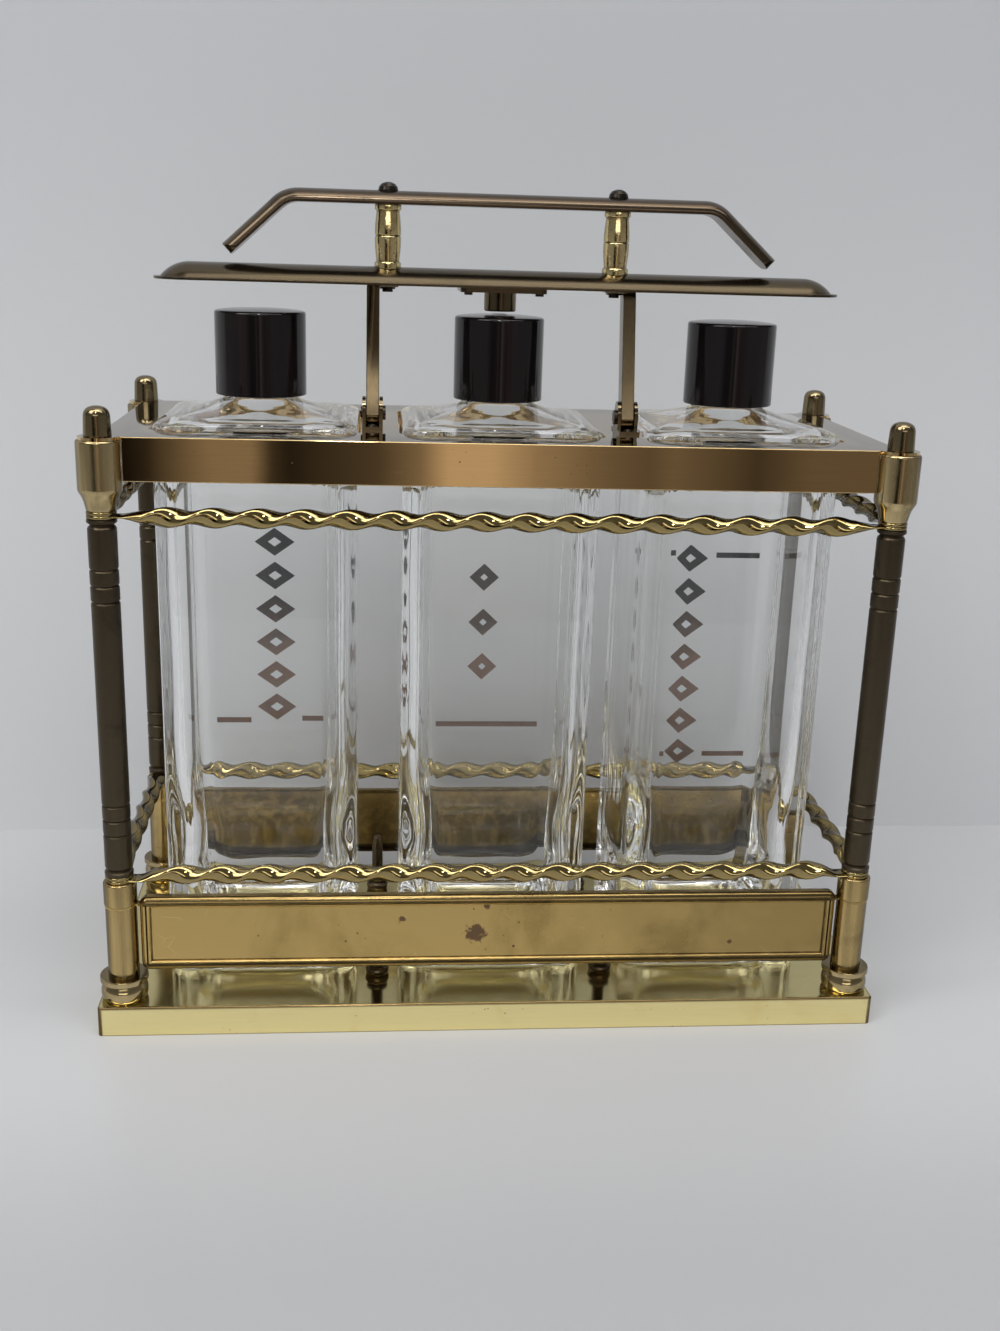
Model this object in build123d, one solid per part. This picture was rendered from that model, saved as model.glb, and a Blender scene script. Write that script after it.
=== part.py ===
from build123d import *
import os
from math import atan2, cos, degrees, radians, sin, sqrt, tan

# Tantalus: a brass cage that holds three square decanters side by side under a hinged, lockable bar.
# Millimetres. +Z up, +X to the right, -Y towards the side of the cage that is seen from the front.
# The origin is the middle of the base, on the surface that the base stands on.

# ---- driving dimensions -------------------------------------------------------------------------
COLUMN_PITCH_X = 290.0
COLUMN_PITCH_Y = 111.7
COLUMN_X = COLUMN_PITCH_X / 2
COLUMN_Y = COLUMN_PITCH_Y / 2

PAN_LENGTH = 308.6
PAN_DEPTH = 132.0
PAN_TOP = 12.1
PAN_SHEET = 1.0
PAN_CORNER = 1.5

BOTTLE_SIDE = 75.9
BOTTLE_PITCH = 92.1
BOTTLE_CORNER = 7.0
GLASS_WALL = 4.2
GLASS_BOTTOM = 8.5
NECK_RADIUS = 13.2
NECK_BORE_RADIUS = 9.8
NECK_TOP = 266.0

CAP_RADIUS = 17.4
CAP_BOTTOM = 242.0
CAP_TOP = 274.5
CAP_BORE_RADIUS = 13.55
LINER_THICKNESS = 1.4

FRAME_TOP = 232.1
FRAME_SHEET = 1.1
FRAME_LENGTH = 292.0
FRAME_DEPTH = 114.6
SKIRT_BOTTOM = 216.2
SKIRT_LENGTH = 273.6
SKIRT_DEPTH = 95.0
BOTTLE_HOLE = 77.8

PANEL_LENGTH = 275.6
PANEL_BOTTOM = 23.9
PANEL_TOP = 55.1

ROD_RADIUS = 2.0
ROD_CLEAR_RADIUS = 2.15
EYE_THICKNESS = 1.35
EYE_RADIUS = 5.4

RAIL_WIDE = 5.6
RAIL_NARROW = 3.0
RAIL_HALF_TURN = 16.3
LOWER_RAIL_Z = 63.9
UPPER_RAIL_Z = 203.4

LID_LENGTH = 262.0
LID_WIDTH = 27.4
LID_FLANGE = 2.4
LID_SHEET = 1.0
LID_RIM = 284.6
LID_RIDGE = 291.1
LID_Y = -5.0

HINGE_X = 48.95
HINGE_Y = -16.0
HINGE_Z = 237.5
PIN_RADIUS = 1.6
ARM_THICKNESS = 4.9
ARM_WIDTH = 8.4
ARM_TOP_Y = -6.0

POST_X = 43.5
POST_RADIUS = 4.8
HANDLE_BOTTOM = 313.6
HANDLE_HEIGHT = 5.0
HANDLE_DEPTH = 14.0
HANDLE_BEND_X = 80.3
HANDLE_TIP_X = 101.9
HANDLE_SLOPE = 42.0
HANDLE_BEND_RADIUS = 9.0

LOCK_BARREL_RADIUS = 6.2
LOCK_NECK_RADIUS = 4.6
LOCK_BOTTOM = 275.6
PLUG_RADIUS = 3.3
BOLT_RADIUS = 2.2
BOLT_TRAVEL = 4.0

# ---- worked-out heights of the column stack -----------------------------------------------------
FOOT_HEIGHT = 10.0
FOOT_TOP = PAN_TOP + FOOT_HEIGHT
SLEEVE_TOP = 51.6
PANEL_EAR = 0.8
COLLAR_BOTTOM = SLEEVE_TOP + PANEL_EAR
COLLAR_TOP = 61.8
LOWER_LONG_EYE = COLLAR_TOP
LOWER_SIDE_EYE = LOWER_LONG_EYE + EYE_THICKNESS
TUBE_BOTTOM = LOWER_SIDE_EYE + EYE_THICKNESS
CUP_BOTTOM = 205.7
UPPER_SIDE_EYE = CUP_BOTTOM - EYE_THICKNESS
UPPER_LONG_EYE = UPPER_SIDE_EYE - EYE_THICKNESS
TUBE_TOP = UPPER_LONG_EYE
CUP_TOP = FRAME_TOP - FRAME_SHEET
FINIAL_TOP = 242.7

CORNERS = {
    "near_left": (-COLUMN_X, -COLUMN_Y),
    "near_right": (COLUMN_X, -COLUMN_Y),
    "far_left": (-COLUMN_X, COLUMN_Y),
    "far_right": (COLUMN_X, COLUMN_Y),
}
BOTTLE_XS = {"left": -BOTTLE_PITCH, "centre": 0.0, "right": BOTTLE_PITCH}
PEG_X = BOTTLE_PITCH / 2
PEG_Y = 40.0


# ---- helpers ------------------------------------------------------------------------------------
def cylinder(x, y, z_low, z_high, radius):
    """An upright cylinder between two heights."""
    return Pos(x, y, (z_low + z_high) / 2) * Cylinder(radius, z_high - z_low)


def block(x_low, x_high, y_low, y_high, z_low, z_high):
    """A plain block between three pairs of limits."""
    centre = Pos((x_low + x_high) / 2, (y_low + y_high) / 2, (z_low + z_high) / 2)
    return centre * Box(x_high - x_low, y_high - y_low, z_high - z_low)


def turned(outline, bore_radius):
    """A piece turned on a lathe: (radius, height) points up its outside, round a straight bore."""
    ends = [(bore_radius, outline[0][1]), (bore_radius, outline[-1][1])]
    points = [ends[0]] + outline
    if outline[-1] != ends[1]:
        points.append(ends[1])
    with BuildPart() as piece:
        with BuildSketch(Plane.XZ):
            with BuildLine():
                Polyline(*points, close=True)
            make_face()
        revolve(axis=Axis.Z)
    return piece.part


def at_corners(make):
    """One copy of a piece at each of the four columns, as one group of separate solids."""
    return Compound(children=[Pos(x, y, 0) * make() for x, y in CORNERS.values()])


def rounded_prism(side, corner, z_low, z_high):
    """A square prism with rounded upright corners, centred on the Z axis."""
    return extrude(Plane.XY.offset(z_low) * RectangleRounded(side, side, corner), z_high - z_low)


def hex_nut(x, y, z_low, z_high, across_flats, bore_radius):
    """A hexagon nut with two of its flats facing along X."""
    outline = RegularPolygon(across_flats / sqrt(3), 6, rotation=30)
    nut = extrude(Plane.XY.offset(z_low) * outline, z_high - z_low)
    return Pos(x, y, 0) * (nut - cylinder(0, 0, z_low - 1, z_high + 1, bore_radius))


# ---- base ---------------------------------------------------------------------------------------
PEG_SCREW_RADIUS = 1.5


def base_pan():
    """The folded base: a flat top with four walls turned down, open underneath."""
    outer = extrude(RectangleRounded(PAN_LENGTH, PAN_DEPTH, PAN_CORNER), PAN_TOP)
    outer = fillet(outer.faces().sort_by(Axis.Z)[-1].edges(), 0.6)
    inner_length = PAN_LENGTH - 2 * PAN_SHEET
    inner_depth = PAN_DEPTH - 2 * PAN_SHEET
    pan = outer - extrude(Rectangle(inner_length, inner_depth), PAN_TOP - PAN_SHEET)
    for x, y in CORNERS.values():
        pan -= cylinder(x, y, 0, PAN_TOP + 1, ROD_CLEAR_RADIUS)
    for x in (-PEG_X, PEG_X):
        for y in (-PEG_Y, PEG_Y):
            pan -= cylinder(x, y, 0, PAN_TOP + 1, PEG_SCREW_RADIUS + 0.1)
    return pan


def column_foot():
    """A turned foot: a fat bead under a flat disc."""
    z = PAN_TOP
    bead = [(8.0, z), (8.6, z + 0.9), (9.0, z + 2.4), (9.0, z + 4.0), (8.6, z + 5.6), (7.9, z + 6.7)]
    groove = [(7.9, z + 7.2)]
    disc = [(8.9, z + 7.5), (9.3, z + 7.9), (9.3, z + 9.6), (8.9, z + FOOT_HEIGHT)]
    return turned(bead + groove + disc, ROD_CLEAR_RADIUS)


def divider_peg():
    """A small turned peg that keeps two bottles apart."""
    z = PAN_TOP
    bead = [(4.0, z), (4.7, z + 0.9), (4.85, z + 2.0), (4.6, z + 3.2), (3.5, z + 4.1)]
    ring = [(3.5, z + 4.7), (4.3, z + 5.2), (4.3, z + 6.2), (3.4, z + 6.9)]
    shaft = [(2.45, z + 7.6), (2.45, z + 25.6), (1.9, z + 26.6), (1.0, z + 27.0)]
    outline = bead + ring + shaft
    peg = turned(outline, 0.0)
    return peg - cylinder(0, 0, z - 1, z + 9, PEG_SCREW_RADIUS)


def peg_screw():
    """A screw up through the base into a peg, with its head inside the base."""
    under = PAN_TOP - PAN_SHEET
    shank = cylinder(0, 0, under - 0.5, PAN_TOP + 8.5, PEG_SCREW_RADIUS - 0.03)
    head = cylinder(0, 0, under - 2.2, under, 3.0)
    return shank + head


def at_pegs(make):
    places = [(x, y) for x in (-PEG_X, PEG_X) for y in (-PEG_Y, PEG_Y)]
    return Compound(children=[Pos(x, y, 0) * make() for x, y in places])


# ---- columns ------------------------------------------------------------------------------------
SLEEVE_RADIUS = 6.0
TUBE_RADIUS = 5.25
TUBE_BORE_RADIUS = 3.2
GROOVE_DEPTH = 0.45
GROOVE_HALF = 0.55
LOWER_GROOVE = 81.4
UPPER_GROOVE = 184.3
GROOVE_PITCH = 6.0


def lower_sleeve():
    return turned([(SLEEVE_RADIUS, FOOT_TOP), (SLEEVE_RADIUS, SLEEVE_TOP)], ROD_CLEAR_RADIUS + 1.8)


def collar():
    rim = 6.35
    outline = [(rim, COLLAR_BOTTOM), (rim, COLLAR_TOP - 0.5), (rim - 0.5, COLLAR_TOP)]
    return turned(outline, ROD_CLEAR_RADIUS + 1.2)


def groove(z):
    """The outline of one turned groove round the tube."""
    edge = TUBE_RADIUS
    return [(edge, z - GROOVE_HALF), (edge - GROOVE_DEPTH, z), (edge, z + GROOVE_HALF)]


def main_tube():
    """The tall tube of a column, with a bead at each end and three grooves near each bead."""
    low = TUBE_BOTTOM
    high = TUBE_TOP
    lower_end = [(4.9, low), (5.5, low + 0.5), (5.5, low + 1.5), (4.3, low + 2.3), (4.3, low + 2.8)]
    outline = lower_end + [(TUBE_RADIUS, low + 3.8)]
    for i in range(3):
        outline += groove(LOWER_GROOVE + i * GROOVE_PITCH)
    for i in reversed(range(3)):
        outline += groove(UPPER_GROOVE - i * GROOVE_PITCH)
    upper_end = [(4.3, high - 2.8), (4.3, high - 2.3), (5.5, high - 1.5), (5.5, high - 0.5), (4.9, high)]
    outline += [(TUBE_RADIUS, high - 3.8)] + upper_end
    return turned(outline, TUBE_BORE_RADIUS)


def cup():
    """The turned cup under the top frame, narrow at its foot and hollow above."""
    rim = 7.9
    foot = [(5.2, CUP_BOTTOM), (5.5, CUP_BOTTOM + 1.2), (5.9, CUP_BOTTOM + 3.2)]
    swell = [(6.9, CUP_BOTTOM + 5.6), (7.6, CUP_BOTTOM + 6.6), (rim, CUP_BOTTOM + 7.6)]
    outline = foot + swell + [(rim, CUP_TOP - 0.7), (rim - 0.7, CUP_TOP)]
    return turned(outline, ROD_CLEAR_RADIUS + 1.2)


def finial():
    """The domed nut on top of a column."""
    z = FRAME_TOP
    side = [(4.95, z), (4.65, z + 7.4)]
    dome = [(4.3, z + 8.7), (3.5, z + 9.7), (2.2, z + 10.3), (0.0, FINIAL_TOP)]
    nut = turned(side + dome, 0.0)
    return nut - cylinder(0, 0, z - 1, z + 6.5, ROD_RADIUS + 0.02)


ROD_FOOT = 5.6
NUT_BOTTOM = 6.6
WASHER_BOTTOM = 10.1


def tie_rod():
    return cylinder(0, 0, ROD_FOOT, FRAME_TOP + 6.0, ROD_RADIUS)


def rod_washer():
    return turned([(4.6, WASHER_BOTTOM), (4.6, PAN_TOP - PAN_SHEET)], ROD_CLEAR_RADIUS)


def rod_nut():
    return hex_nut(0, 0, NUT_BOTTOM, WASHER_BOTTOM, 7.0, ROD_RADIUS + 0.02)


# ---- twisted rails ------------------------------------------------------------------------------
TWIST_START = 14.3
TAPER_START = 7.6
TAPER_STEPS = 4
TWIST_STEP = 22.5


def rail_section(x, turn, wide, narrow, height):
    """A rectangle across the rail, turned about the rail's own line."""
    plane = Plane(origin=(x, 0, height), x_dir=(0, cos(radians(turn)), sin(radians(turn))), z_dir=(1, 0, 0))
    return plane * Rectangle(wide, narrow)


def twisted_rail(pitch, eye_bottom, axis_z):
    """A flat bar twisted along its length, flattened to an eye at each end that threads on the rods."""
    eye_z = eye_bottom + EYE_THICKNESS / 2
    half = pitch / 2
    twist_half = half - TWIST_START
    half_turns = round(2 * twist_half / RAIL_HALF_TURN)
    steps = int(half_turns * 180 / TWIST_STEP)
    sections = []
    for i in range(steps + 1):
        x = -twist_half + 2 * twist_half * i / steps
        sections.append(rail_section(x, -TWIST_STEP * i, RAIL_WIDE, RAIL_NARROW, axis_z))
    rail = loft(sections, ruled=True)
    for side in (-1, 1):
        taper = []
        for i in range(TAPER_STEPS + 1):
            t = i / TAPER_STEPS
            x = side * (half - TAPER_START - t * (TWIST_START - TAPER_START))
            thick = EYE_THICKNESS + t * (RAIL_NARROW - EYE_THICKNESS)
            ease = t * t * (3 - 2 * t)
            taper.append(rail_section(x, 0, RAIL_WIDE, thick, eye_z + ease * (axis_z - eye_z)))
        rail += loft(taper, ruled=True)
        tab_in = half - TAPER_START
        tab = block(tab_in, half, -RAIL_WIDE / 2, RAIL_WIDE / 2, eye_bottom, eye_bottom + EYE_THICKNESS)
        eye = cylinder(half, 0, eye_bottom, eye_bottom + EYE_THICKNESS, EYE_RADIUS)
        hole = cylinder(half, 0, eye_bottom - 1, eye_bottom + 3, ROD_CLEAR_RADIUS)
        end = tab + eye - hole
        rail += end if side > 0 else Rot(0, 0, 180) * end
    return rail


def rails():
    """The eight rails: a near, far, left and right one at each of two heights."""
    made = {}
    levels = {
        "lower": (LOWER_LONG_EYE, LOWER_SIDE_EYE, LOWER_RAIL_Z),
        "upper": (UPPER_LONG_EYE, UPPER_SIDE_EYE, UPPER_RAIL_Z),
    }
    for level, (long_eye, side_eye, axis_z) in levels.items():
        long_rail = twisted_rail(COLUMN_PITCH_X, long_eye, axis_z)
        side_rail = twisted_rail(COLUMN_PITCH_Y, side_eye, axis_z + EYE_THICKNESS)
        made[level + "_near_rail"] = Pos(0, -COLUMN_Y, 0) * long_rail
        made[level + "_far_rail"] = Pos(0, COLUMN_Y, 0) * Rot(0, 0, 180) * long_rail
        made[level + "_left_rail"] = Pos(-COLUMN_X, 0, 0) * Rot(0, 0, 90) * side_rail
        made[level + "_right_rail"] = Pos(COLUMN_X, 0, 0) * Rot(0, 0, -90) * side_rail
    return made


# ---- panels -------------------------------------------------------------------------------------
PANEL_FRONT_Y = -58.7
PANEL_BACK_Y = -54.5
PANEL_SHEET = 0.9
PANEL_BEAD = 4.0
PANEL_RECESS = 1.3
PANEL_CORNER = 3.0


def near_panel():
    """A pressed plate with a rounded bead round a sunk flat, hung from the columns by four ears."""
    height = PANEL_TOP - PANEL_BOTTOM
    mid = (PANEL_TOP + PANEL_BOTTOM) / 2
    depth = PANEL_BACK_Y - PANEL_FRONT_Y
    front = Plane(origin=(0, PANEL_FRONT_Y, mid), x_dir=(1, 0, 0), z_dir=(0, -1, 0))
    body = extrude(front * RectangleRounded(PANEL_LENGTH, height, PANEL_CORNER), -depth)
    body = fillet(body.faces().sort_by(Axis.Y)[0].edges(), 1.6)
    flat_size = (PANEL_LENGTH - 2 * PANEL_BEAD, height - 2 * PANEL_BEAD)
    body -= extrude(front * RectangleRounded(*flat_size, 2.0), -PANEL_RECESS)
    back = front.offset(-depth)
    hollow = (PANEL_LENGTH - 2 * PANEL_SHEET, height - 2 * PANEL_SHEET)
    web_back = PANEL_RECESS + PANEL_SHEET
    body -= extrude(back * RectangleRounded(*hollow, PANEL_CORNER - PANEL_SHEET), depth - web_back)
    for side in (-1, 1):
        column_x = side * COLUMN_X
        inner_x = side * (PANEL_LENGTH / 2 - PANEL_SHEET)
        tab_y = (PANEL_FRONT_Y + 0.6, PANEL_BACK_Y)
        tab = block(min(inner_x, column_x), max(inner_x, column_x), *tab_y, SLEEVE_TOP, COLLAR_BOTTOM)
        ear = cylinder(column_x, -COLUMN_Y, SLEEVE_TOP, COLLAR_BOTTOM, SLEEVE_RADIUS + 0.2)
        hole = cylinder(column_x, -COLUMN_Y, SLEEVE_TOP - 1, COLLAR_BOTTOM + 1, ROD_CLEAR_RADIUS)
        body += tab + ear
        body -= hole
    return body


# ---- top frame ----------------------------------------------------------------------------------
SPARE_HOLE_X = 44.5
SPARE_HOLE_Y = 16.8
SPARE_HOLE_RADIUS = 2.7
CORNER_EAR_RADIUS = 7.0
FOLD_RADIUS = 0.8
RIVET_RADIUS = 1.2
RIVET_Y_OFFSET = 8.0


def hinge_rivet_places():
    return [(x, HINGE_Y + dy) for x in (-HINGE_X, HINGE_X) for dy in (-RIVET_Y_OFFSET, RIVET_Y_OFFSET)]


def top_frame():
    """The sheet that the bottles pass through: three square holes, skirts turned down, corner ears."""
    low = FRAME_TOP - FRAME_SHEET
    sheet = block(-FRAME_LENGTH / 2, FRAME_LENGTH / 2, -FRAME_DEPTH / 2, FRAME_DEPTH / 2, low, FRAME_TOP)
    for side in (-1, 1):
        y_out = side * FRAME_DEPTH / 2
        y_in = side * (FRAME_DEPTH / 2 - FRAME_SHEET)
        half = SKIRT_LENGTH / 2
        sheet += block(-half, half, min(y_in, y_out), max(y_in, y_out), SKIRT_BOTTOM, FRAME_TOP)
        x_out = side * FRAME_LENGTH / 2
        x_in = side * (FRAME_LENGTH / 2 - FRAME_SHEET)
        half = SKIRT_DEPTH / 2
        sheet += block(min(x_in, x_out), max(x_in, x_out), -half, half, SKIRT_BOTTOM, FRAME_TOP)
    sheet = fillet(sheet.faces().sort_by(Axis.Z)[-1].outer_wire().edges(), FOLD_RADIUS)
    for x, y in CORNERS.values():
        sheet += cylinder(x, y, low, FRAME_TOP, CORNER_EAR_RADIUS)
    for x in BOTTLE_XS.values():
        sheet -= Pos(x, 0, 0) * rounded_prism(BOTTLE_HOLE, BOTTLE_CORNER, low - 1, FRAME_TOP + 1)
    for x, y in CORNERS.values():
        sheet -= cylinder(x, y, low - 1, FRAME_TOP + 1, ROD_CLEAR_RADIUS)
    for x, y in hinge_rivet_places():
        sheet -= cylinder(x, y, low - 1, FRAME_TOP + 1, RIVET_RADIUS)
    for x in (-SPARE_HOLE_X, SPARE_HOLE_X):
        sheet -= cylinder(x, SPARE_HOLE_Y, low - 1, FRAME_TOP + 1, SPARE_HOLE_RADIUS)
    return sheet


# ---- bottles ------------------------------------------------------------------------------------
SHOULDER = [
    (BOTTLE_SIDE, BOTTLE_CORNER, 231.6),
    (75.0, 7.2, 233.2),
    (72.4, 7.6, 234.4),
    (68.0, 8.4, 235.2),
    (54.0, 13.0, 236.9),
    (40.0, 17.0, 238.7),
    (30.4, 14.9, 240.3),
    (2 * NECK_RADIUS, NECK_RADIUS - 0.1, 241.6),
]
INNER_CORNER = 8.0
INNER_FLOOR_ROUND = 6.0
INNER_SHOULDER = [
    (BOTTLE_SIDE - 2 * GLASS_WALL, INNER_CORNER, 226.5),
    (64.5, 9.5, 228.8),
    (52.0, 12.5, 231.2),
    (36.0, 14.0, 233.8),
    (23.0, 11.3, 237.4),
    (2 * NECK_BORE_RADIUS, NECK_BORE_RADIUS - 0.1, 241.0),
]


def square_loft(steps):
    """A smooth loft up through squares whose corners grow rounder until they are a circle."""
    return loft([Plane.XY.offset(z) * RectangleRounded(side, side, corner) for side, corner, z in steps])


def bottle():
    """A heavy square decanter with a low sloping shoulder and a short round neck."""
    body = rounded_prism(BOTTLE_SIDE, BOTTLE_CORNER, PAN_TOP, SHOULDER[0][2])
    body = fillet(body.faces().sort_by(Axis.Z)[0].edges(), 2.5)
    body += square_loft(SHOULDER)
    body += cylinder(0, 0, SHOULDER[-1][2] - 1.0, NECK_TOP, NECK_RADIUS)
    inner_side, inner_corner, inner_top = INNER_SHOULDER[0]
    floor = PAN_TOP + GLASS_BOTTOM
    room = rounded_prism(inner_side, inner_corner, floor, inner_top)
    room = fillet(room.faces().sort_by(Axis.Z)[0].edges(), INNER_FLOOR_ROUND)
    body -= room
    body -= square_loft(INNER_SHOULDER)
    body -= cylinder(0, 0, INNER_SHOULDER[-1][2] - 1.0, NECK_TOP + 1, NECK_BORE_RADIUS)
    return body


SOCKET_RADIUS = 2.8
SOCKET_DEPTH = 4.4


def cap(with_socket):
    """A tall screw cap. The centre one has a socket in its top for the lock's bolt."""
    foot = [(CAP_RADIUS - 0.3, CAP_BOTTOM), (CAP_RADIUS, CAP_BOTTOM + 0.3)]
    edge = [(CAP_RADIUS, CAP_TOP - 1.9), (CAP_RADIUS - 0.2, CAP_TOP - 1.4), (CAP_RADIUS - 0.8, CAP_TOP - 1.0)]
    crown = [(CAP_RADIUS - 4.0, CAP_TOP - 0.5), (CAP_RADIUS / 2, CAP_TOP - 0.15), (0.0, CAP_TOP)]
    outline = foot + edge + crown
    solid = turned(outline, 0.0)
    solid -= cylinder(0, 0, CAP_BOTTOM - 1, NECK_TOP + LINER_THICKNESS, CAP_BORE_RADIUS)
    if with_socket:
        solid -= cylinder(0, 0, CAP_TOP - SOCKET_DEPTH, CAP_TOP + 1, SOCKET_RADIUS)
    return solid


def cap_liner():
    """The sealing disc between a cap and the top of its neck."""
    return cylinder(0, 0, NECK_TOP, NECK_TOP + LINER_THICKNESS, CAP_BORE_RADIUS - 0.25)


# ---- hinge --------------------------------------------------------------------------------------
BRACKET_SHEET = 1.3
BRACKET_BASE = 1.1
BRACKET_GAP = 5.2
BRACKET_HALF_LENGTH = 10.0
EAR_HALF = 4.6
EAR_CENTRE_Z = 239.0
ARM_CLEAR = 0.06
FOOT_BOTTOM = 286.0
SCREW_RADIUS = 2.0


def along_x(x_low, x_high, y, z, radius):
    """A cylinder lying along X between two places."""
    return Pos((x_low + x_high) / 2, y, z) * Rot(0, 90, 0) * Cylinder(radius, x_high - x_low)


def hinge_bracket(side):
    """A bent U of sheet riveted to the frame: two ears for the pin, and a web that stops the arm."""
    base_top = FRAME_TOP + BRACKET_BASE
    outer_half = BRACKET_GAP / 2 + BRACKET_SHEET
    y_low = HINGE_Y - BRACKET_HALF_LENGTH
    y_high = HINGE_Y + BRACKET_HALF_LENGTH
    bracket = block(-outer_half, outer_half, y_low, y_high, FRAME_TOP, base_top)
    for ear_side in (-1, 1):
        inside = ear_side * BRACKET_GAP / 2
        outside = ear_side * outer_half
        x_range = (min(inside, outside), max(inside, outside))
        y_range = (HINGE_Y - EAR_HALF, HINGE_Y + EAR_HALF)
        bracket += block(*x_range, *y_range, FRAME_TOP, EAR_CENTRE_Z)
        bracket += along_x(*x_range, HINGE_Y, EAR_CENTRE_Z, EAR_HALF)
    web_front = HINGE_Y + EAR_HALF + 0.2
    bracket += block(-outer_half, outer_half, web_front, web_front + BRACKET_SHEET, FRAME_TOP, HINGE_Z + 2.0)
    bracket += block(-outer_half, -BRACKET_GAP / 2, HINGE_Y, web_front + 0.5, FRAME_TOP, HINGE_Z + 1.0)
    bracket += block(BRACKET_GAP / 2, outer_half, HINGE_Y, web_front + 0.5, FRAME_TOP, HINGE_Z + 1.0)
    bracket -= along_x(-outer_half - 1, outer_half + 1, HINGE_Y, HINGE_Z, PIN_RADIUS)
    for dy in (-RIVET_Y_OFFSET, RIVET_Y_OFFSET):
        bracket -= cylinder(0, HINGE_Y + dy, FRAME_TOP - 1, base_top + 1, RIVET_RADIUS)
    return Pos(side * HINGE_X, 0, 0) * bracket


def hinge_rivet():
    """A rivet through a bracket and the frame sheet, with a low head above and a flat tail below."""
    base_top = FRAME_TOP + BRACKET_BASE
    under = FRAME_TOP - FRAME_SHEET
    shank = cylinder(0, 0, under - 0.4, base_top + 0.4, RIVET_RADIUS)
    head = turned([(1.8, base_top), (1.6, base_top + 0.5), (0.9, base_top + 0.8), (0.0, base_top + 0.85)], 0.0)
    tail = cylinder(0, 0, under - 0.8, under, 1.9)
    return shank + head + tail


def hinge_pin(side):
    """The pin of one hinge, headed on the side that faces the middle of the bar."""
    outer_half = BRACKET_GAP / 2 + BRACKET_SHEET
    pin = along_x(-outer_half, outer_half, HINGE_Y, HINGE_Z, PIN_RADIUS)
    head = along_x(-outer_half - 1.1, -outer_half, HINGE_Y, HINGE_Z, 2.7)
    clench = along_x(outer_half, outer_half + 0.6, HINGE_Y, HINGE_Z, 2.2)
    piece = pin + head + clench
    piece = Pos(HINGE_X, 0, 0) * piece
    return piece if side > 0 else mirror(piece, Plane.YZ)


# ---- lid plate, arms and lock -------------------------------------------------------------------
DOME_HALF = LID_WIDTH / 2 - LID_FLANGE
DOME_RISE = LID_RIDGE - LID_RIM - LID_SHEET
DOME_RADIUS = (DOME_HALF**2 + DOME_RISE**2) / (2 * DOME_RISE)
DOME_CENTRE_Z = LID_RIDGE - DOME_RADIUS
DOME_END_X = LID_LENGTH / 2 - LID_FLANGE - DOME_HALF
RIVET_PLACE_X = 13.4
RIVET_PLACE_Y = 12.5
SMALL_RIVET_RADIUS = 0.75
LOCK_PLATE_HALF = 16.3
LOCK_PLATE_SHEET = 1.6
LOCK_PLATE_WIDTH = 26.6


def capsule(radius):
    """A round bar with ball ends, lying along the lid: the form that the dome is pressed over."""
    bar = along_x(-DOME_END_X, DOME_END_X, LID_Y, DOME_CENTRE_Z, radius)
    for x in (-DOME_END_X, DOME_END_X):
        bar += Pos(x, LID_Y, DOME_CENTRE_Z) * Sphere(radius)
    return bar


def lid_plate():
    """The long pressed bar over the caps: a shallow dome inside a thin flat rim."""
    rim = Pos(0, LID_Y, 0) * extrude(Plane.XY.offset(LID_RIM) * SlotOverall(LID_LENGTH, LID_WIDTH), LID_SHEET)
    above = block(-LID_LENGTH, LID_LENGTH, -LID_LENGTH, LID_LENGTH, LID_RIM, LID_RIDGE + 5)
    lid = rim + (capsule(DOME_RADIUS) & above) - capsule(DOME_RADIUS - LID_SHEET)
    for x in (-POST_X, POST_X):
        lid -= cylinder(x, LID_Y, LID_RIM - 1, LID_RIDGE + 1, SCREW_RADIUS + 0.1)
    lid -= cylinder(0, 0, LID_RIM - 1, LID_RIDGE + 1, LOCK_NECK_RADIUS + 0.05)
    for x, y in lock_rivet_places():
        lid -= cylinder(x, y, LID_RIM - 1, LID_RIM + 3, SMALL_RIVET_RADIUS)
    return lid


def arm(side):
    """A hinge arm: a flat bar from the pin up into the dome, ending in a foot under the handle post."""
    rise = FOOT_BOTTOM - HINGE_Z
    lean = degrees(atan2(ARM_TOP_Y - HINGE_Y, rise))
    length = rise / cos(radians(lean)) + 6.0
    bar = block(-ARM_THICKNESS / 2, ARM_THICKNESS / 2, -ARM_WIDTH / 2, ARM_WIDTH / 2, 0, length)
    bar += along_x(-ARM_THICKNESS / 2, ARM_THICKNESS / 2, 0, 0, ARM_WIDTH / 2)
    bar = Pos(HINGE_X, HINGE_Y, HINGE_Z) * Rot(-lean, 0, 0) * bar
    outer_x = HINGE_X + ARM_THICKNESS / 2
    foot_y = (ARM_TOP_Y - ARM_WIDTH / 2 + 0.4, ARM_TOP_Y + ARM_WIDTH / 2 + 0.6)
    foot = block(POST_X - 4.6, outer_x, *foot_y, FOOT_BOTTOM, LID_RIDGE)
    shape = bar + foot
    room = capsule(DOME_RADIUS - LID_SHEET - 0.05)
    room += block(-LID_LENGTH, LID_LENGTH, -LID_LENGTH, LID_LENGTH, 0, LID_RIM)
    shape = shape & room
    shape -= cylinder(POST_X, LID_Y, FOOT_BOTTOM - 1, LID_RIDGE + 1, SCREW_RADIUS + 0.1)
    shape -= along_x(0, 2 * HINGE_X, HINGE_Y, HINGE_Z, PIN_RADIUS + ARM_CLEAR)
    return shape if side > 0 else mirror(shape, Plane.YZ)


def lock_rivet_places():
    return [(x, LID_Y + y) for x in (-RIVET_PLACE_X, RIVET_PLACE_X) for y in (-RIVET_PLACE_Y, RIVET_PLACE_Y)]


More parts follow.
